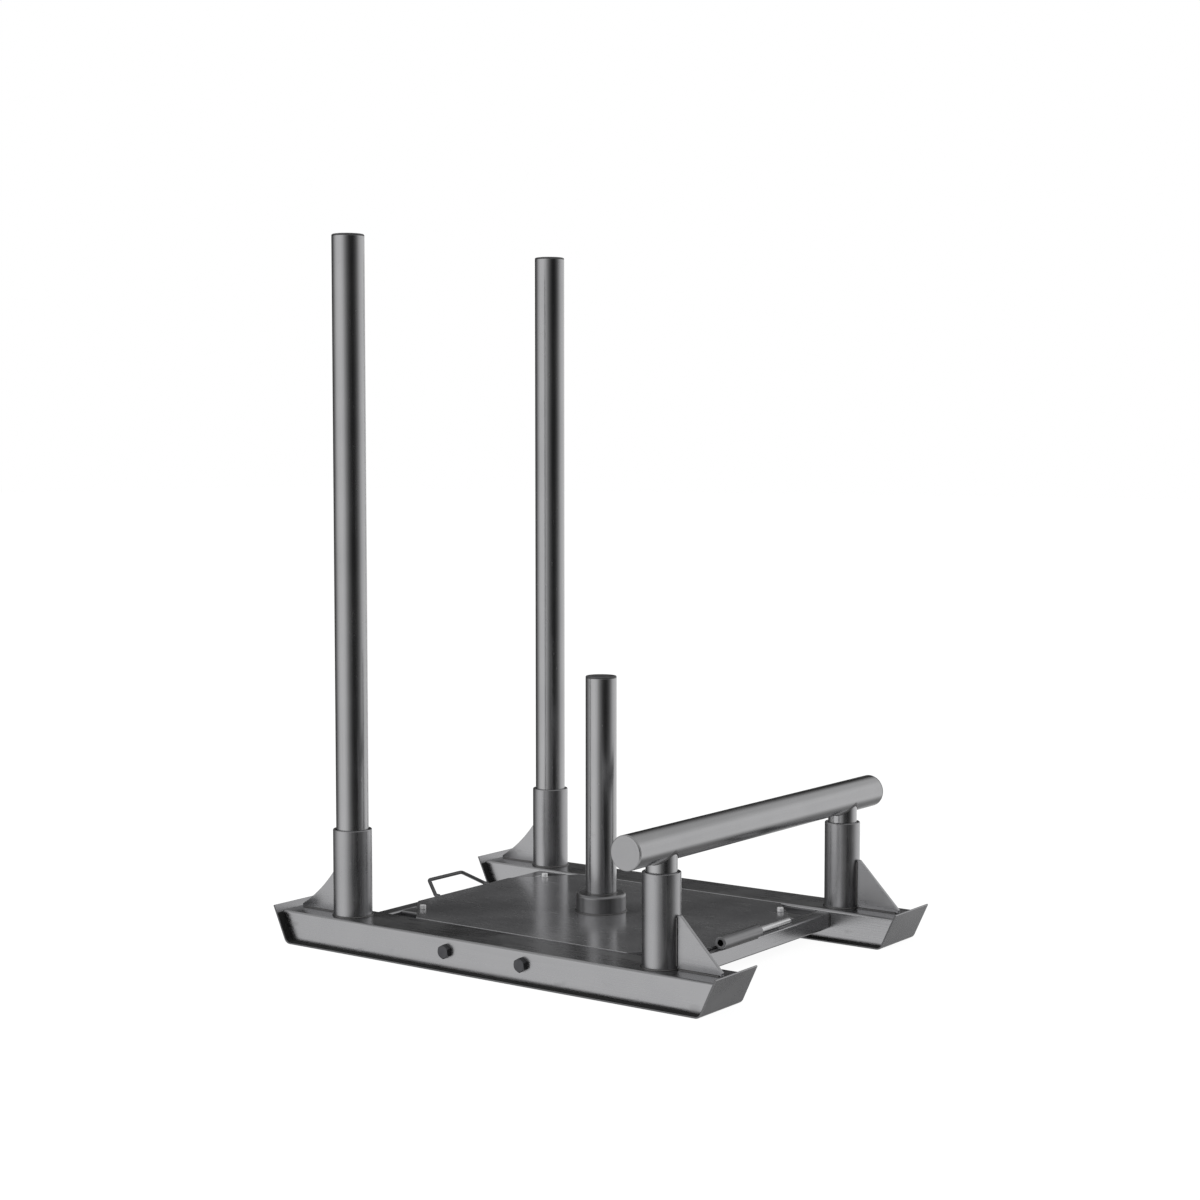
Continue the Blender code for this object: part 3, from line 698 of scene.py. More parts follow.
    @staticmethod
    def smooth(item: MeshObject, angle: float = 35.0) -> None:
        """Shade an object smooth, with its flats kept flat.

        Args:
            item: The object.
            angle: Edges sharper than this, in degrees, stay sharp.
        """
        Bench.activate(item)
        bpy.ops.object.shade_smooth_by_angle(angle=math.radians(angle))
        Bench.modify(item, "WEIGHTED_NORMAL", weight=100, keep_sharp=True)

    @staticmethod
    def tube(name: str, low: Point, high: Point, radius: float, wall: float,
             rim: float = 0.0008) -> MeshObject:
        """A tube with rounded rims: an open round sheet, thickened inward.

        Args:
            name: Name of the object.
            low: Where its axis starts.
            high: Where its axis ends.
            radius: Its outer radius.
            wall: Its wall.
            rim: Width of the rounding on its rims.

        Returns:
            The tube.
        """
        item = Bench.round_bar(name, low, high, radius, capped=False)
        Bench.modify(item, "SOLIDIFY", thickness=wall, offset=-1.0)
        Bench.break_edges(item, rim, segments=3)
        Bench.smooth(item)
        return item


@dataclass(frozen=True)
class Place:
    """Where a piece, or a copy of it, goes.

    Attributes:
        name: Its name.
        node: The node whose body it rides on.
        shift: How far it stands from the piece that was modelled.
        pivot: A point on the upright axis that it is turned half round, if it is turned.
    """

    name: str
    node: str
    shift: Vector
    pivot: Vector | None = None


@dataclass
class Build:
    """What the sub-assemblies share: the frame's bodies and how a piece joins it.

    Attributes:
    """

    frame: dict

    def body(self, node: str) -> str:
        """The body that a node belongs to."""
        return self.frame["nodes"][node]["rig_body"]

    def fit(self, piece: MeshObject, finish: Finish, grain: Grain, node: str,
            stands_for: bool = True) -> MeshObject:
        """Dress a finished piece and fit it to the frame.

        Args:
            piece: The piece.
            finish: Its finish.
            grain: The way the finish's lines run.
            node: The node whose body it rides on.
            stands_for: Whether it takes the node's place.

        Returns:
            The piece.
        """
        piece.data.materials.clear()
        piece.data.materials.append(finish.material(grain))
        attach(piece, self.body(node))
        if stands_for:
            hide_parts(node)
        LOG.info("%s: %d faces", piece.name, len(piece.data.polygons))
        return piece

    def spread(self, piece: MeshObject, finish: Finish, grain: Grain, places: Sequence[Place],
               stands_for: bool = True) -> list[MeshObject]:
        """Copy a piece to its other places, then dress and fit them all.

        Args:
            piece: The piece, at the first place.
            finish: Its finish.
            grain: The way the finish's lines run.
            places: Where the pieces go, the first one included.
            stands_for: Whether they take their nodes' places.

        Returns:
            The pieces.
        """
        pieces = [piece] + [Bench.copy(piece, place) for place in places[1:]]
        for each, place in zip(pieces, places):
            self.fit(each, finish, grain, place.node, stands_for)
        return pieces

    def places(self, nodes: Sequence[str], ending: str, turned: str = "") -> list[Place]:
        """Where the copies of a piece go for nodes of one kind.

        Args:
            nodes: The nodes, that of the piece first.
            ending: What each piece's name has after its node's name.
            turned: A word in the names of the nodes whose copies are turned half round.

        Returns:
            The places, by the middles of the nodes' boxes.
        """
        home = self.centre(nodes[0])
        return [Place(node + ending, node, self.centre(node) - home,
                      home if turned and turned in node else None) for node in nodes]

    def dress(self, node: str, finish: Finish, grain: Grain) -> None:
        """Give a node that stays its finish.

        Args:
            node: Name of the node.
            finish: Its finish.
            grain: The way the finish's lines run.
        """
        item = self.frame["nodes"][node]
        item.data.materials.clear()
        item.data.materials.append(finish.material(grain))
        LOG.info("%s: dressed", node)

    def centre(self, node: str) -> Vector:
        """The middle of a node's box."""
        low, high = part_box(node)
        return (low + high) / 2


@dataclass
class WeldBead:
    """A fillet weld: a rod sunk into a corner, drawn into ripples.

    Attributes:
        build: The shared frame.
        radius: Radius of the rod.
        pitch: Distance from ripple to ripple.
        swell: How far each ripple stands out.
    """

    build: Build
    radius: float = 0.0018
    pitch: float = 0.0021
    swell: float = 0.0003

    @classmethod
    def fine(cls, build: Build) -> WeldBead:
        """A finer bead, for thin pieces."""
        return cls(build, radius=0.0012, pitch=0.0016, swell=0.0002)

    def ring(self, centre: Point, radius: float, places: Sequence[Place],
             saddle: float = 0.0) -> None:
        """A bead round the foot of a round piece, and its copies.

        Args:
            centre: Centre of the foot.
            radius: Radius of the round piece.
            places: Where the beads go.
            saddle: Radius of the bar along Y that the foot wraps, or 0 for a flat foot.
        """
        ripples = max(24, round(2 * math.pi * radius / self.pitch))
        Bench.clear()
        bpy.ops.mesh.primitive_torus_add(
            location=centre, major_segments=2 * ripples, minor_segments=10,
            major_radius=radius, minor_radius=self.radius)
        item = Bench.named(places[0].name)
        middle = Vector(centre)
        step = math.pi / ripples

        def on_crest(vert: bmesh.types.BMVert) -> bool:
            """Whether a vert is on a ripple's crest."""
            turn = math.atan2(vert.co.y - middle.y, vert.co.x - middle.x)
            return round(turn / step) % 2 == 0

        Bench.pick(item, "VERT", on_crest)
        bpy.ops.transform.shrink_fatten(value=self.swell)
        Bench.done()
        if saddle:
            for vert in item.data.vertices:
                reach = vert.co.x - middle.x
                vert.co.z += saddle - math.sqrt(max(saddle ** 2 - reach ** 2, 0.0))
        Bench.smooth(item, angle=80.0)
        self.build.spread(item, WELD_WITH_PAINTED_SHADE, Grain.NONE, places, stands_for=False)

    def line(self, start: Point, end: Point, places: Sequence[Place]) -> None:
        """A straight bead and its copies: one ripple, repeated along the line.

        Args:
            start: Where it starts.
            end: Where it ends.
            places: Where the beads go.
        """
        first, last = Vector(start), Vector(end)
        run = last - first
        count = max(3, round(run.length / self.pitch))
        step = run / count
        item = Bench.round_bar(places[0].name, first, first + step, self.radius, steps=12,
                               capped=False)
        Bench.edit(item, "EDGE")
        bpy.ops.mesh.bisect(plane_co=first + step / 2, plane_no=run.normalized())
        grow = 1.0 + self.swell / self.radius
        bpy.ops.transform.resize(value=(grow, grow, grow), center_override=first + step / 2)
        Bench.done()
        Bench.modify(item, "ARRAY", count=count, use_relative_offset=False,
                     use_constant_offset=True, constant_offset_displace=step,
                     use_merge_vertices=True, merge_threshold=0.00005)
        Bench.close(item)
        Bench.smooth(item, angle=80.0)
        self.build.spread(item, WELD_WITH_PAINTED_SHADE, Grain.NONE, places, stands_for=False)


@dataclass
class Skis:
    """The two skis, each a bent shoe, a rubber liner and a folded channel, nested.

    Attributes:
        build: The shared frame.
        flat_length: Length of the sole between the corners of its bends.
        bend_radius: Outer radius of the shoe's bends.
        nose_height: Height of the nose's outer face.
        nose_lean: How far the noses lean out, in radians.
        shoe: Thickness of the shoe.
        liner: Thickness of the liner.
        seat: Gap between the layers.
        liner_top: How far the liner ends below the channel's top.
        wall: Wall of the channel.
        fold: Outer radius of the channel's folds.
        edge: Width of the rounding on its cut edges.
        bolt_x: Distance of the side bolts from the middle.
        bolt_z: Height of the side bolts.
        bolt_hole: Radius of the bolt holes.
    """

    build: Build
    flat_length: float = 0.772
    bend_radius: float = 0.012
    nose_height: float = 0.057
    nose_lean: float = math.radians(25.0)
    shoe: float = 0.0025
    liner: float = 0.0008
    seat: float = 0.0001
    liner_top: float = 0.0025
    wall: float = 0.003
    fold: float = 0.004
    edge: float = 0.0005
    bolt_x: float = 0.0715
    bolt_z: float = 0.0285
    bolt_hole: float = 0.0065

    @property
    def bend(self) -> float:
        """How far the ends turn up, in radians."""
        return math.pi / 2 - self.nose_lean

    @property
    def half(self) -> float:
        """Half of the sole's length between its bends."""
        return self.flat_length / 2 - self.bend_radius * math.tan(self.bend / 2)

    def make(self) -> None:
        """Model and dress the skis."""
        liner_seat = self.shoe + self.seat
        shoes = self.layer("ski_shoe", "_strip", 0.0, self.shoe, self.nose_height, SATIN_STEEL)
        # The shoe's side edges, which face along Y, take the dark steel as painted shade along the
        # ski's foot.
        for shoe in shoes:
            shoe.data.materials.append(SHADED_SHOE_EDGE.material(Grain.ALONG_X))
            for face in shoe.data.polygons:
                face.material_index = int(abs(face.normal.y) > 0.5)
        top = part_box("ski_body_left")[1].z - self.liner_top
        self.layer("ski_liner", "_pad", liner_seat, self.liner, top, BLACK_RUBBER)
        self.channels(liner_seat + self.liner + self.seat)

    def layer(self, stem: str, ending: str, offset: float, thickness: float, top: float,
              finish: Finish) -> list[MeshObject]:
        """A bent layer of each ski: a flat strip whose ends are spun up, extruded and thickened.

        Args:
            stem: What its nodes' names start with.
            ending: What its pieces' names have after the nodes' names.
            offset: How far it lies above the sole.
            thickness: Its thickness.
            top: Height of its outer face.
            finish: Its finish.

        Returns:
            The left and the right layer.
        """
        places = self.build.places(Side.nodes(stem), ending)
        low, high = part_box(places[0].node)
        y = (high.y + low.y) / 2
        radius = self.bend_radius - offset
        rise = top - self.bend_radius + radius * math.sin(self.nose_lean)
        Bench.clear()
        bpy.ops.mesh.primitive_plane_add(size=1.0, location=(0.0, y, offset))
        bpy.context.object.scale = (2 * self.half, high.y - low.y, 1.0)
        item = Bench.named(places[0].name)
        for end in End:
            sign = end.value
            outward = Vector((sign, 0.0, 0.0))
            Bench.pick_rim(item, outward * self.half, outward)
            bpy.ops.mesh.spin(steps=10, angle=sign * self.bend,
                              center=(sign * self.half, y, self.bend_radius),
                              axis=LEFTWARD)
            Bench.extrude(Vector((sign * rise * math.tan(self.nose_lean), 0.0, rise)))
            Bench.done()
        Bench.thicken(item, thickness, -UP)
        Bench.break_edges(item, min(0.0006, thickness / 4), segments=3)
        Bench.smooth(item)
        return self.build.spread(item, finish, Grain.ALONG_X, places)

    def channels(self, offset: float) -> None:
        """The channel: a block with folded edges, cut along the noses, opened and thickened.

        Args:
            offset: How far it lies above the sole.
        """
        places = self.build.places(Side.nodes("ski_body"), "_channel")
        low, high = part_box(places[0].node)
        over = 2 * OVERSHOOT
        item = Bench.bar(places[0].name, (low.x - over, low.y, offset),
                         (high.x + over, high.y, high.z))
        Bench.pick(item, "EDGE", lambda edge: all(
            vert.co.z > high.z - NEAR for vert in edge.verts)
            and abs(edge.verts[0].co.x - edge.verts[1].co.x) > over)
        bpy.ops.mesh.bevel(offset=self.fold, segments=6, affect="EDGES")
        for end in End:
            for turn in (self.bend, self.bend / 2):
                outward = Vector((end.value * math.sin(turn), 0.0, -math.cos(turn)))
                corner = Vector((end.value * self.half, 0.0, self.bend_radius))
                bpy.ops.mesh.select_all(action="SELECT")
                bpy.ops.mesh.bisect(plane_co=corner + outward * (self.bend_radius - offset),
                                    plane_no=outward, clear_outer=True)
        Bench.done()
        Bench.remove_faces(item, -UP, both=False)
        Bench.thicken(item, self.wall, UP)
        drill = Bench.round_bar("drill", (self.bolt_x, low.y - over, self.bolt_z),
                                (self.bolt_x, high.y + over, self.bolt_z), self.bolt_hole,
                                steps=48)
        other = Bench.copy(drill, Place("drill_rear", "", Vector((-2 * self.bolt_x, 0.0, 0.0))))
        Bench.cut(item, drill)
        Bench.cut(item, other)
        Bench.break_edges(item, self.edge, angle=50.0)
        Bench.smooth(item)
        self.build.spread(item, SATIN_STEEL, Grain.ALONG_X, places)


@dataclass
class CrossFrame:
    """The welded bars between the skis.

    Attributes:
        build: The shared frame.
        wall: Wall of the square bars.
        corner: Outer corner radius of the square bars.
        edge: Width of the rounding on their cut ends.
        sink_x: How far the welds lie inside the bars' faces.
        sink_y: How far they lie inside the bars' ends.
    """

    build: Build
    wall: float = 0.002
    corner: float = 0.003
    edge: float = 0.0003
    sink_x: float = 0.0006
    sink_y: float = 0.0004

    def make(self) -> None:
        """Model the two cross bars, their welds, and dress the bars that the deck hides."""
        places = self.build.places([f"cross_bar_{end.word}" for end in End], "_tube")
        low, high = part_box(places[0].node)
        item = Bench.bar(places[0].name, low, high)
        half = (high.y - low.y) / 2
        Bench.pick(item, "EDGE", lambda edge: abs(
            edge.verts[0].co.y - edge.verts[1].co.y) > half)
        bpy.ops.mesh.bevel(offset=self.corner, segments=5, affect="EDGES")
        Bench.done()
        Bench.remove_faces(item, LEFTWARD)
        Bench.modify(item, "SOLIDIFY", thickness=self.wall, offset=-1.0)
        Bench.break_edges(item, self.edge, angle=60.0)
        Bench.smooth(item)
        self.build.spread(item, SATIN_STEEL, Grain.ALONG_Y, places)
        x, y = high.x - self.sink_x, high.y - self.sink_y
        corners = [Place(f"cross_bar_{end.word}_weld_{side.word}", f"cross_bar_{end.word}",
                         Vector((end.value * x - x, side.value * y - y, 0.0)))
                   for end in End for side in Side]
        WeldBead(self.build).line((x, y, low.z + self.corner), (x, y, high.z - self.corner),
                                  corners)
        for side in Side:
            self.build.dress(f"side_bar_{side.word}", DARK_STEEL, Grain.ALONG_X)
            self.build.dress(f"deck_bearer_{side.word}", DARK_STEEL, Grain.ALONG_X)
        self.build.dress("post_bearer", DARK_STEEL, Grain.ALONG_Y)


@dataclass
class Deck:
    """The deck plate.

    Attributes:
        build: The shared frame.
        corner_x: How far each cut corner reaches along the plate.
        corner_y: How far each cut corner reaches across it.
        edge: Width of its rounded edges.
        hole: Radius of the screw holes.
    """

    build: Build
    corner_x: float = 0.079
    corner_y: float = 0.0965
    edge: float = 0.0007
    hole: float = 0.0035

    def make(self) -> None:
        """A block whose corners are cut off and whose screw holes are drilled."""
        low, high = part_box("deck_plate")
        item = Bench.bar("deck_plate_sheet", low, high)
        Bench.edit(item, "FACE")
        for end in End:
            for side in Side:
                corner = (end.value * (high.x - self.corner_x), side.value * high.y, high.z)
                outward = (end.value * self.corner_y, side.value * self.corner_x, 0.0)
                bpy.ops.mesh.select_all(action="SELECT")
                bpy.ops.mesh.bisect(plane_co=corner, plane_no=outward, clear_outer=True,
                                    use_fill=True)
        Bench.done()
        first, *others = [self.build.centre(f"deck_screw_{side.word}_{end.word}")
                          for end in End for side in Side]
        drill = Bench.round_bar("drill", (first.x, first.y, low.z - OVERSHOOT),
                                (first.x, first.y, high.z + OVERSHOOT), self.hole, steps=32)
        drills = [drill] + [Bench.copy(drill, Place("drill_copy", "", spot - first))
                            for spot in others]
        for each in drills:
            Bench.cut(item, each)
        Bench.break_edges(item, self.edge, segments=3)
        Bench.smooth(item)
        self.build.fit(item, DARK_PLATE, Grain.ALONG_X, "deck_plate")


@dataclass
class Plug:
    """A moulded plug that closes a tube's end.

    Attributes:
        build: The shared frame.
        wall: Wall of the tube that it sits in.
        skirt: Length of its skirt inside the tube.
        skirt_wall: Wall of its skirt.
        rounding: How much of its rim's height is rounded.
        border: Width of the raised border round its dished middle.
        slope: Width of the slope from the border to the middle.
        dish: Depth of the middle.
    """

    build: Build
    wall: float = 0.003
    skirt: float = 0.018
    skirt_wall: float = 0.002
    rounding: float = 0.85
    border: float = 0.005
    slope: float = 0.0008
    dish: float = 0.0005

    def make(self, nodes: Sequence[str], outward: Vector) -> None:
        """Model one plug, and copy and dress it: darker grey as painted shade on upright tubes,
        grey on a level one.

        Args:
            nodes: Its node, then the node of its twin, if it has one.
            outward: The way that its outer face looks; a level plug's twin looks back.
        """
        low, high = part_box(nodes[0])
        span = high - low
        length = abs(span.dot(outward))
        radius = span.x / 2
        rim = length - self.skirt
        face = (low + high) / 2 + outward * (length / 2)
        item = Bench.round_bar(nodes[0] + "_moulding", face - outward * rim, face, radius)
        Bench.round_rim(item, face, outward, rim * self.rounding, segments=5)
        Bench.pick(item, "FACE", lambda part: part.normal.dot(outward) > FACING
                   and (part.calc_center_median() - face).length < NEAR)
        bpy.ops.mesh.inset(thickness=self.border)
        bpy.ops.mesh.inset(thickness=self.slope, depth=-self.dish)
        Bench.pick(item, "FACE", lambda part: part.normal.dot(outward) < -FACING)
        bpy.ops.mesh.inset(thickness=self.wall + FIT_GAP)
        Bench.extrude(-outward * self.skirt)
        bpy.ops.mesh.inset(thickness=self.skirt_wall)
        Bench.extrude(outward * self.skirt)
        Bench.done()
        Bench.smooth(item)
        # Plugs that face up take the darker grey as painted shade; the plastic itself is the same
        # grey.
        finish, turned = (PLASTIC_WITH_PAINTED_SHADE, "") if outward.z else (GREY_PLASTIC, "right")
        self.build.spread(item, finish, Grain.NONE,
                          self.build.places(nodes, "_moulding", turned))


@dataclass
class Gusset:
    """A triangular brace on each ski, with its welds.

    Attributes:
        build: The shared frame.
        tip: Height of its blunt tips.
        sag: How far its long edge curves in.
        steps: Steps of its long edge.
        edge: Width of its rounded edges.
        socket: Radius of the socket that it braces.
        proud: How far its welds stand out from its faces.
        weld_ends: The gaps at its welds' ends, the small and the large one.
        near: How near a column's edge the verts lie that belong to it.
    """

    build: Build
    tip: float = 0.005
    sag: float = 0.0
    steps: int = 12
    edge: float = 0.0008
    socket: float = 0.029
    proud: float = 0.0002
    weld_ends: Sequence[float] = (0.003, 0.004)
    near: float = 0.00005

    def make(self, nodes: Sequence[str], toward: float) -> None:
        """Model a gusset that widens away from its socket column by column, and copy it.

        Args:
            nodes: Its node and that of its twin.
            toward: Sign of X from the socket to its thin end.
        """
        low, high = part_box(nodes[0])
        length = high.x - low.x
        height = high.z - low.z
        root = low.x if toward > 0 else high.x
        y = (low.y + high.y) / 2
        points = self.outline(length, height)
        Bench.clear()
        bpy.ops.mesh.primitive_plane_add(size=1.0, location=(root + toward * self.tip / 2, y,
                                                             low.z + height / 2),
                                         rotation=(math.pi / 2, 0.0, 0.0))
        bpy.context.object.scale = (self.tip, height, 1.0)
        item = Bench.named(nodes[0] + "_plate")
        for before, after in zip(points, points[1:]):
            edge_x = root + toward * before.x
            Bench.pick(item, "EDGE", lambda edge: all(
                abs(vert.co.x - edge_x) < self.near for vert in edge.verts))
            Bench.extrude(Vector((toward * (after.x - before.x), 0.0, 0.0)))
            new_x = root + toward * after.x
            Bench.pick(item, "VERT", lambda vert: abs(vert.co.x - new_x) < self.near
                       and vert.co.z > low.z + self.tip / 2)
            bpy.ops.transform.translate(value=(0.0, 0.0, after.y - before.y))
            Bench.done()
        Bench.thicken(item, high.y - low.y, -LEFTWARD, offset=0.0)
        Bench.break_edges(item, self.edge, segments=3)
        Bench.smooth(item)
        self.build.spread(item, SATIN_STEEL, Grain.ALONG_X, self.build.places(nodes, "_plate"))
        half = (high.y - low.y) / 2
        face = y + half + self.proud
        small, large = self.weld_ends
        bead = WeldBead(self.build, radius=0.0015)
        bead.line((root + toward * small, face, low.z),
                  (root + toward * (length - large), face, low.z),
                  self.faces(nodes, "_foot_weld", y - face))
        seam = root - toward * half ** 2 / 2 / self.socket
        bead.line((seam, face, low.z + large), (seam, face, high.z - small),
                  self.faces(nodes, "_side_weld", y - face))

    def outline(self, length: float, height: float) -> list[Vector]:
        """The upper edge, from the tip at the socket down to the tip on the ski.

        Args:
            length: Its length along the ski.
            height: Its height along the socket.

        Returns:
            Distance from the socket and height of each point.
        """
        foot = Vector((length, self.tip))
        run = Vector((self.tip, height)) - foot
        inward = Vector((-run.y, run.x)).normalized()
        shares = [step / self.steps for step in range(self.steps - 1, -1, -1)]
        return [Vector((self.tip, height))] + [
            foot + run * share + inward * (4 * self.sag * share * (1 - share))
            for share in shares]

    def faces(self, nodes: Sequence[str], ending: str, reach: float) -> list[Place]:
        """A bead's places on both faces of each gusset.

        Args:
            nodes: The gussets' nodes.
            ending: What each bead's name has after its node's name.
            reach: How far the plate's middle lies from the first bead along Y.

        Returns:
            The places.
        """
        return [Place(f"{place.name}_{side.word}", place.node,
                      place.shift + Vector((0.0, reach * (1 - side.value), 0.0)))
                for place in self.build.places(nodes, ending) for side in Side]


@dataclass
class WeightPost:
    """The post for weight plates, its collar and its plug.

    Attributes:
        build: The shared frame.
        wall: Wall of the post.
        fillet: Rounding of the collar's upper edge.
    """

    build: Build
    wall: float = 0.0035
    fillet: float = 0.005

    def make(self) -> None:
        """Model and dress the post."""
        low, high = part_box("weight_post")
        radius = (high.x - low.x) / 2
        post = Bench.tube("weight_post_tube", (0.0, 0.0, low.z), (0.0, 0.0, high.z), radius,
                          self.wall)
        self.build.fit(post, BRIGHT_TUBE, Grain.ALONG_Z, "weight_post")
        low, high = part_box("post_collar")
        outer = (high.x - low.x) / 2
        collar = Bench.round_bar("post_collar_ring", (0.0, 0.0, low.z), (0.0, 0.0, high.z), outer)
        Bench.round_rim(collar, high, UP, self.fillet, segments=8)
        bore = Bench.round_bar("bore", (0.0, 0.0, low.z - OVERSHOOT),
                               (0.0, 0.0, high.z + OVERSHOOT), radius + FIT_GAP)
        Bench.cut(collar, bore)
        Bench.smooth(collar)
        self.build.fit(collar, DARK_STEEL, Grain.ALONG_Z, "post_collar")
        WeldBead(self.build, radius=0.0015).ring(
            (0.0, 0.0, low.z), outer, self.build.places(["post_collar"], "_weld"))
        WeldBead.fine(self.build).ring(
            (0.0, 0.0, high.z), radius, self.build.places(["post_collar"], "_upper_weld"))
        Plug(self.build, self.wall).make(["post_plug"], UP)


@dataclass
class Socket:
    """A pair of socket tubes that stand on the skis, with a weld round each foot.

    Attributes:
        build: The shared frame.
        wall: Their wall.
        lead_in: Width of the chamfers in their mouths.
    """

    build: Build
    wall: float = 0.0045
    lead_in: float = 0.0012

    def make(self, nodes: Sequence[str]) -> None:
        """Model one socket, and copy and dress it.

        Args:
            nodes: Its node and that of its twin.
        """
        low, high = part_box(nodes[0])
        centre = (low + high) / 2
        foot = Vector((centre.x, centre.y, low.z))
        radius = (high.x - low.x) / 2
        item = Bench.tube(nodes[0] + "_tube", foot, (centre.x, centre.y, high.z), radius,
                          self.wall, self.lead_in)
        self.build.spread(item, SATIN_STEEL, Grain.ALONG_Z, self.build.places(nodes, "_tube"))
        WeldBead(self.build).ring(foot, radius, self.build.places(nodes, "_weld"))


@dataclass
class PushPoles:
    """The two tall push poles with their sockets, gussets and plugs.

    Attributes:
        build: The shared frame.
        wall: Wall of the poles.
    """

    build: Build
    wall: float = 0.003

    def make(self) -> None:
        """Model and dress the poles and what holds them."""
        Socket(self.build).make(Side.nodes("pole_socket"))
        Gusset(self.build, sag=0.0045).make(Side.nodes("pole_gusset"), -1.0)
        places = self.build.places(Side.nodes("push_pole"), "_tube")
        low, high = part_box(places[0].node)
        centre = (low + high) / 2
        item = Bench.tube(places[0].name, (centre.x, centre.y, low.z),
                          (centre.x, centre.y, high.z), (high.x - low.x) / 2, self.wall)
        self.build.spread(item, BRIGHT_TUBE, Grain.ALONG_Z, places)
        Plug(self.build, self.wall).make(Side.nodes("pole_plug"), UP)


@dataclass
class PushHandle:
    """The low push handle: a bar on two notched posts, its sockets, gussets and plugs.

    Attributes:
        build: The shared frame.
        wall: Wall of the bar and the posts.
        socket_wall: Wall of the sockets.
    """

    build: Build
    wall: float = 0.003
    socket_wall: float = 0.0047

    def make(self) -> None:
        """Model and dress the handle and what holds it."""
        low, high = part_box("handle_bar")
        axis = (low + high) / 2
        radius = (high.x - low.x) / 2
        bar = Bench.tube("handle_bar_tube", (axis.x, low.y, axis.z), (axis.x, high.y, axis.z),
                         radius, self.wall)
        self.build.fit(bar, BRIGHT_TUBE, Grain.ALONG_Y, "handle_bar")
        Socket(self.build, self.socket_wall).make(Side.nodes("handle_socket"))
        Gusset(self.build).make(Side.nodes("handle_gusset"), 1.0)
        self.posts(axis, radius)
        Plug(self.build, self.wall).make(Side.nodes("handle_plug"), LEFTWARD)

    def posts(self, axis: Vector, bar_radius: float) -> None:
        """The posts, notched to the bar, with their saddle welds.

        Args:
            axis: A point on the bar's axis.
            bar_radius: Radius of the bar.
        """
        places = self.build.places(Side.nodes("handle_post"), "_tube")
        low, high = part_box(places[0].node)
        centre = (low + high) / 2
        radius = (high.x - low.x) / 2
        item = Bench.tube(places[0].name, (centre.x, centre.y, low.z),
                          (centre.x, centre.y, axis.z), radius, self.wall)
        through = LEFTWARD * (radius + OVERSHOOT)
        middle = Vector((axis.x, centre.y, axis.z))
        notch = Bench.round_bar("notch", middle - through, middle + through,
                                bar_radius + FIT_GAP)
        Bench.cut(item, notch)
        Bench.smooth(item)
        self.build.spread(item, BRIGHT_TUBE, Grain.ALONG_Z, places)
        WeldBead(self.build, radius=0.0016).ring(
            (centre.x, centre.y, axis.z - bar_radius), radius,
            self.build.places(Side.nodes("handle_post"), "_weld"), bar_radius)


@dataclass
class TowLoop:
    """The rear loop of bent rod.

    Attributes:
        build: The shared frame.
        radius: Radius of the rod.
        foot_y: Half of the distance between its feet.
        top_y: Half of the length of its top.
        bend_x: Where it leaves the cross bar.
        foot_z: Height of its feet.
        reach: How far out its top stands.
        rise: How far up its top stands.
        corner: Radius of its bends.
        edge: Width of the rounding on its ends.
        weld_ends: How far the welds end before the bends, and before the rod's ends.
    """

    build: Build
    radius: float = 0.003
    foot_y: float = 0.0625
    top_y: float = 0.0415
    bend_x: float = -0.286
    foot_z: float = 0.0476
    reach: float = 0.032
    rise: float = 0.018
    corner: float = 0.006
    edge: float = 0.0004
    weld_ends: Sequence[float] = (0.0025, 0.0005)

    def make(self) -> None:
        """Model the rod from its outline: straight runs are extruded, and bends are spun."""
        foot_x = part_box("tow_loop")[1].x
        top_x = self.bend_x - self.reach
        top_z = self.foot_z + self.rise
        corners = [
            Vector((foot_x, -self.foot_y, self.foot_z)),
            Vector((self.bend_x, -self.foot_y, self.foot_z)),
            Vector((top_x, -self.top_y, top_z)),
            Vector((top_x, self.top_y, top_z)),
            Vector((self.bend_x, self.foot_y, self.foot_z)),
            Vector((foot_x, self.foot_y, self.foot_z)),
        ]
        Bench.clear()
        start = (corners[1] - corners[0]).normalized()
        bpy.ops.mesh.primitive_circle_add(vertices=24, radius=self.radius, fill_type="NOTHING",
                                          location=corners[0],
                                          rotation=start.to_track_quat("Z", "Y").to_euler())
        item = Bench.named("tow_loop_rod")
        Bench.edit(item, "EDGE")
        place = corners[0]
        for before, corner, after in zip(corners, corners[1:], corners[2:]):
            heading = (corner - before).normalized()
            leaving = (after - corner).normalized()
            turn = heading.angle(leaving)
            run = self.corner * math.tan(turn / 2)
            step = corner - heading * run - place
            Bench.extrude(step)
            axis = heading.cross(leaving).normalized()
            middle = place + step + axis.cross(heading) * self.corner
            bpy.ops.mesh.spin(steps=8, angle=-turn, center=middle, axis=axis)
            place = corner + leaving * run
        Bench.extrude(corners[-1] - place)
        Bench.done()
        Bench.close(item)
        Bench.break_edges(item, self.edge, angle=60.0)
        Bench.smooth(item, angle=50.0)
        self.build.fit(item, ROD_STEEL, Grain.NONE, "tow_loop")
        foot, edge, z = self.foot_y, self.radius - self.edge, self.foot_z - self.radius
        seams = [Place(f"tow_loop_weld_{side.word}_{face.word}", "tow_loop",
                       Vector((0.0, (side.value - 1) * foot + (face.value - 1) * edge, 0.0)))
                 for side in Side for face in Side]
        WeldBead.fine(self.build).line(
            (self.bend_x + self.weld_ends[0], foot + edge, z),
            (foot_x - self.weld_ends[1], foot + edge, z), seams)


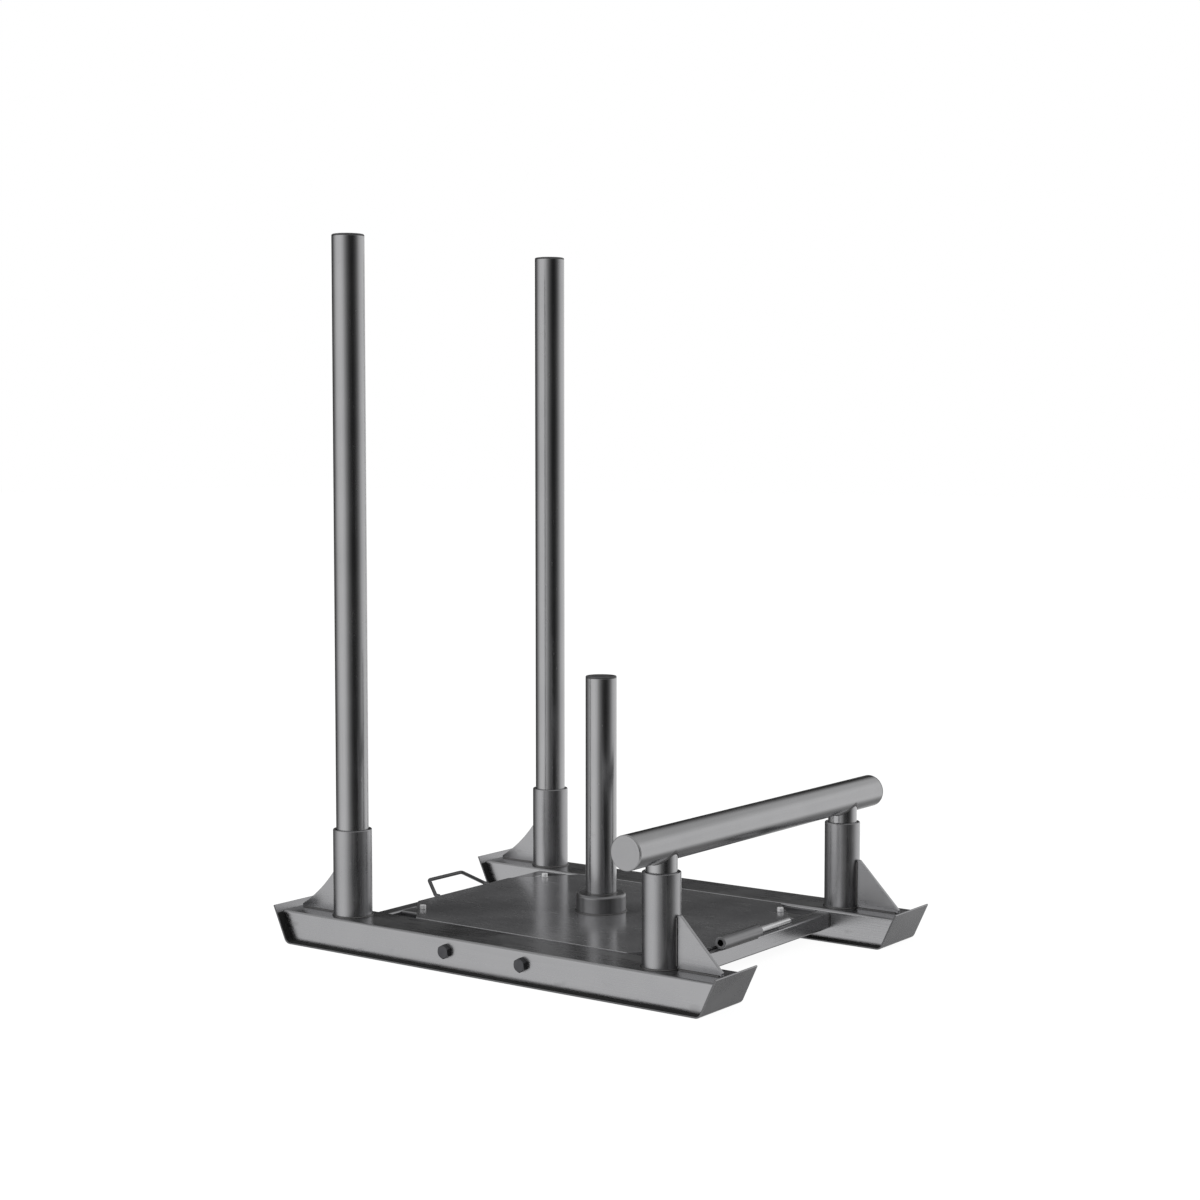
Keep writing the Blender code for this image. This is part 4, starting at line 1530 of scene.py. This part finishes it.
@dataclass
class DrawPin:
    """The front sleeve and the pin that slides in it.

    Attributes:
        build: The shared frame.
        pin_radius: Radius of the pin.
        pin_edge: Width of the rounding on its ends.
        seam: Distance of the welds from the sleeve's middle, as a share of its radius.
        short: How far the welds end before the sleeve does.
        sink: How far they lie above the sleeve's lowest line.
    """

    build: Build
    pin_radius: float = 0.0045
    pin_edge: float = 0.0015
    seam: float = 0.35
    short: float = 0.006
    sink: float = 0.0006

    def make(self) -> None:
        """Model and dress the sleeve, its welds and the pin."""
        low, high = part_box("pin_sleeve")
        axis = (low + high) / 2
        radius = (high.x - low.x) / 2
        sleeve = Bench.tube("pin_sleeve_tube", (axis.x, low.y, axis.z), (axis.x, high.y, axis.z),
                            radius, radius - self.pin_radius - FIT_GAP)
        self.build.fit(sleeve, DARK_STEEL, Grain.ALONG_Y, "pin_sleeve")
        seam = radius * self.seam
        x, z = axis.x + seam, low.z + self.sink
        seams = [Place(f"pin_sleeve_weld_{end.word}", "pin_sleeve",
                       Vector(((end.value - 1) * seam, 0.0, 0.0))) for end in End]
        WeldBead(self.build, radius=0.0016).line((x, low.y + self.short, z),
                                          (x, high.y - self.short, z), seams)
        low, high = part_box("draw_pin")
        pin = Bench.round_bar("draw_pin_rod", (axis.x, low.y, axis.z), (axis.x, high.y, axis.z),
                              self.pin_radius, steps=48)
        Bench.break_edges(pin, self.pin_edge, segments=4, angle=60.0)
        Bench.smooth(pin)
        self.build.fit(pin, PIN_STEEL, Grain.ALONG_Y, "draw_pin")


@dataclass
class Fasteners:
    """The bolts through the skis and the screws through the deck.

    Attributes:
        build: The shared frame.
        head: Height of a side bolt's head.
        flats: Width of a side bolt's head across its flats.
        chamfer: Width of its chamfer, as a share of what its corners stand out.
        edge: Width of the rounding on a side bolt's edges.
        shank: Radius of a side bolt's shank.
        tip: Width of the chamfer on its tip.
        root: How far it reaches into its head.
        screw_head: Height of a deck screw's head.
        screw_shank: Radius of a deck screw's shank.
        screw_root: How far it reaches into its head.
        key: Width of a deck screw's socket across its flats.
        key_depth: Depth of that socket.
        screw_edge: Width of the rounding on a deck screw's head.
    """

    build: Build
    head: float = 0.0075
    flats: float = 0.019
    chamfer: float = 1.25
    edge: float = 0.0003
    shank: float = 0.006
    tip: float = 0.001
    root: float = 0.002
    screw_head: float = 0.006
    screw_shank: float = 0.003
    screw_root: float = 0.001
    key: float = 0.005
    key_depth: float = 0.003
    screw_edge: float = 0.0008

    def make(self) -> None:
        """Model one bolt and one screw, copy them to their places, and dress the nuts."""
        tags = [f"{side.word}_{end.word}" for side in Side for end in End]
        self.side_bolts([f"side_bolt_{tag}" for tag in tags])
        self.deck_screws([f"deck_screw_{tag}" for tag in tags])
        for tag in tags:
            self.build.dress(f"side_nut_{tag}", BLACK_BOLT, Grain.NONE)
            self.build.dress(f"deck_nut_{tag}", ZINC_WITH_PAINTED_GLINT, Grain.NONE)

    def side_bolts(self, nodes: Sequence[str]) -> None:
        """Hexagon bolts with a conical chamfer on their heads.

        Args:
            nodes: Their nodes, a left one first.
        """
        low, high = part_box(nodes[0])
        centre = (low + high) / 2
        face = Vector((centre.x, high.y, centre.z))
        seat = face - LEFTWARD * self.head
        corner = self.flats / math.sqrt(3)
        item = Bench.round_bar(nodes[0] + "_hexagon", seat, face, corner, steps=6)
        cone = Bench.round_bar("cone", seat, face, corner)
        Bench.round_rim(cone, face, LEFTWARD, (corner - self.flats / 2) * self.chamfer,
                        segments=1)
        Bench.cut(item, cone, "INTERSECT")
        shank = Bench.round_bar("shank", seat + LEFTWARD * self.root,
                                (centre.x, low.y, centre.z), self.shank, steps=48)
        Bench.break_edges(shank, self.tip, segments=1, angle=60.0)
        Bench.cut(item, shank, "UNION")
        Bench.break_edges(item, self.edge, angle=25.0)
        Bench.edit(item, "VERT")
        bpy.ops.mesh.dissolve_degenerate(threshold=MERGE)
        Bench.done()
        Bench.smooth(item, angle=20.0)
        self.build.spread(item, BLACK_BOLT, Grain.NONE,
                          self.build.places(nodes, "_hexagon", "right"))

    def deck_screws(self, nodes: Sequence[str]) -> None:
        """Cap screws with a hexagon socket.

        Args:
            nodes: Their nodes.
        """
        low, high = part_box(nodes[0])
        centre = (low + high) / 2
        radius = (high.x - low.x) / 2
        top = Vector((centre.x, centre.y, high.z))
        seat = top - UP * self.screw_head
        item = Bench.round_bar(nodes[0] + "_cap", seat, top, radius, steps=64)
        Bench.round_rim(item, high, UP, self.screw_edge, segments=4)
        key = Bench.round_bar("key", top - UP * self.key_depth, top + UP * OVERSHOOT,
                              self.key / math.sqrt(3), steps=6)
        Bench.cut(item, key)
        shank = Bench.round_bar("shank", (centre.x, centre.y, low.z),
                                seat + UP * self.screw_root, self.screw_shank, steps=40)
        Bench.cut(item, shank, "UNION")
        Bench.smooth(item, angle=30.0)
        # The near-white zinc paints the glints on the screw heads.
        self.build.spread(item, ZINC_WITH_PAINTED_GLINT, Grain.NONE, self.build.places(nodes, "_cap"))


@dataclass(frozen=True)
class Lamp:
    """A soft round lamp that shows in no reflection.

    Attributes:
        name: Its name.
        place: Where it hangs.
        size: Its diameter.
        power: Its power in watts.
        aim: Height of the point on the sled's axis that it looks at.
    """

    name: str
    place: Point
    size: float
    power: float
    aim: float = 0.3

    def make(self) -> None:
        """Hang the lamp."""
        data = bpy.data.lights.new(self.name, "AREA")
        data.shape = "DISK"
        data.size = self.size
        data.energy = self.power
        item = bpy.data.objects.new(self.name, data)
        item.location = self.place
        heading = UP * self.aim - Vector(self.place)
        item.rotation_euler = heading.to_track_quat("-Z", "Y").to_euler()
        item.visible_glossy = False
        bpy.context.scene.collection.objects.link(item)


@dataclass(frozen=True)
class Studio:
    """The camera, the floor, the lamps and the backdrop.

    The camera sees white all round. Other rays see a ring of pale screens with dark gaps. Each
    stop of the ring is an angle to the right of the camera, in degrees, and a brightness.

    Attributes:
        camera_place: Where the camera stands.
        camera_turn: Its turn, as Euler angles.
        lens: Its focal length in millimetres.
        sensor: Width of its frame in millimetres.
        far: The farthest that it sees.
        floor_size: Side of the floor.
        floor_drop: How far the floor lies below the sled.
        floor_tone: Brightness of the floor where it lights the sled.
        shadow_tone: How strongly the camera sees shadows on the floor.
        floor_glow: Brightness that the camera sees on the floor besides.
        ring_turn: Turn of the ring, in degrees, that sets its angles out from the camera.
        front: The ring before and beside the sled.
        low_left: The ring's left back, near the horizon.
        low_right: Its right back, near the horizon.
        high_left: Its left back, higher up.
        high_right: Its right back, higher up.
        ground: The ring below the horizon.
        roof: Brightness overhead.
        high_from: Heights of a ray where the higher ring starts, and where it has taken over.
        roof_from: The same for the roof.
        ground_from: The same for the ground, downward.
    """

    camera_place: Point = (1.978, -2.717, 0.7667)
    camera_turn: Point = (math.pi / 2 - 0.0687, 0.0, 0.6298)
    lens: float = 65.16
    sensor: float = 36.0
    far: float = 200.0
    floor_size: float = 60.0
    floor_drop: float = 0.0002
    floor_tone: float = 0.8
    shadow_tone: float = 0.16
    floor_glow: float = 0.93
    ring_turn: float = 53.9
    front: Stops = ((-94, 0.80), (-76, 1.03), (-50, 1.05), (-33, 0.86), (-18, 0.48), (-4, 0.22),
                    (11, 0.08), (24, 0.03), (39, 0.03), (55, 0.09), (71, 0.27), (90, 0.70),
                    (110, 0.95))
    low_left: Stops = ((-180, 0.05), (-135, 0.09), (-114, 0.30))
    low_right: Stops = ((138, 1.0), (160, 1.0), (176, 0.12))
    high_left: Stops = ((-180, 0.010), (-135, 0.03), (-114, 0.25))
    high_right: Stops = ((130, 1.0), (148, 0.95), (161, 0.02))
    ground: Stops = ((-180, 0.80), (94, 0.80), (112, 0.24), (160, 0.24), (176, 0.80))
    roof: float = 0.56
    high_from: Sequence[float] = (0.06, 0.17)
    roof_from: Sequence[float] = (0.34, 0.62)
    ground_from: Sequence[float] = (-0.27, -0.54)

    def make(self) -> None:
        """Set up the whole studio."""
        self.camera()
        self.floor()
        self.backdrop()
        Lamp("key", place=(-2.2, -2.6, 2.6), size=2.4, power=60.0).make()
        Lamp("fill", place=(2.6, 1.2, 2.2), size=2.0, power=25.0).make()
        bpy.context.scene.view_settings.view_transform = "Standard"

    def camera(self) -> None:
        """The camera at the photograph's angle."""
        data = bpy.data.cameras.new("camera")
        data.lens = self.lens
        data.sensor_width = self.sensor
        data.clip_end = self.far
        item = bpy.data.objects.new("camera", data)
        item.location = self.camera_place
        item.rotation_euler = self.camera_turn
        bpy.context.scene.collection.objects.link(item)
        bpy.context.scene.camera = item

    def floor(self) -> None:
        """A white floor that keeps a soft shadow."""
        Bench.clear()
        bpy.ops.mesh.primitive_plane_add(size=self.floor_size, location=-UP * self.floor_drop)
        item = Bench.named("studio_floor")
        material = bpy.data.materials.new("studio_floor")
        material.use_nodes = True
        material.node_tree.nodes.clear()
        wiring = Wiring(material.node_tree)
        plain, thin = wiring.add("BsdfDiffuse"), wiring.add("BsdfDiffuse")
        for shader, tone in ((plain, self.floor_tone), (thin, self.shadow_tone)):
            shader.inputs["Color"].default_value = (tone, tone, tone, 1.0)
        glow = wiring.add("Emission")
        glow.inputs["Strength"].default_value = self.floor_glow
        white = wiring.add("AddShader")
        wiring.join(thin.outputs[0], white.inputs[0])
        wiring.join(glow.outputs[0], white.inputs[1])
        wiring.output("Material", white.outputs[0], plain.outputs[0])
        item.data.materials.append(material)
        item.visible_glossy = False

    def backdrop(self) -> None:
        """A white backdrop for the camera, and the ring, the roof and the ground for the rest."""
        world = bpy.data.worlds.new("studio")
        bpy.context.scene.world = world
        world.use_nodes = True
        world.node_tree.nodes.clear()
        wiring = Wiring(world.node_tree)
        ray = wiring.add("TexCoord").outputs["Generated"]
        turn = wiring.add("VectorRotate")
        turn.rotation_type = "Z_AXIS"
        turn.inputs["Angle"].default_value = math.radians(self.ring_turn)
        wiring.join(ray, turn.inputs["Vector"])
        around = wiring.add("TexGradient")
        around.gradient_type = "RADIAL"
        wiring.join(turn.outputs["Vector"], around.inputs["Vector"])
        parts = wiring.add("SeparateXYZ")
        wiring.join(ray, parts.inputs["Vector"])
        height = parts.outputs["Z"]
        low, high, ground = (self.ramp(wiring, around.outputs["Fac"], stops) for stops in (
            (*self.low_left, *self.front, *self.low_right),
            (*self.high_left, *self.front, *self.high_right), self.ground))
        ring = wiring.blend(wiring.between(height, self.high_from, soft=True), low, high)
        upper = wiring.blend(wiring.between(height, self.roof_from, soft=True), ring,
                             (self.roof, self.roof, self.roof))
        whole = wiring.blend(wiring.between(height, self.ground_from, soft=True), upper, ground)
        screens = wiring.add("Background")
        wiring.join(whole, screens.inputs["Color"])
        white = wiring.add("Background")
        white.inputs["Color"].default_value = (1.0, 1.0, 1.0, 1.0)
        wiring.output("World", white.outputs[0], screens.outputs[0])

    @staticmethod
    def ramp(wiring: Wiring, around: NodeSocket, stops: Stops) -> NodeSocket:
        """The brightness round the sled as a colour.

        Args:
            wiring: The world's nodes.
            around: Angle of a ray, from 0 to 1.
            stops: Angles in degrees, and the brightness at each.

        Returns:
            The colour socket.
        """
        node = wiring.add("ValToRGB")
        elements = node.color_ramp.elements
        while len(elements) < len(stops):
            elements.new(0.5)
        for element, (angle, value) in zip(elements, stops):
            element.position = (angle + 180.0) / 360.0
            element.color = (value, value, value, 1.0)
        wiring.join(around, node.inputs["Fac"])
        return node.outputs["Color"]


def main() -> None:
    """Build every sub-assembly in order."""
    logging.basicConfig(level=logging.INFO, format="%(message)s")
    build = Build(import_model())
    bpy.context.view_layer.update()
    Studio().make()
    for assembly in (Skis, CrossFrame, Deck, WeightPost, PushPoles, PushHandle, TowLoop, DrawPin,
                     Fasteners):
        assembly(build).make()


if __name__ == "__main__":
    main()
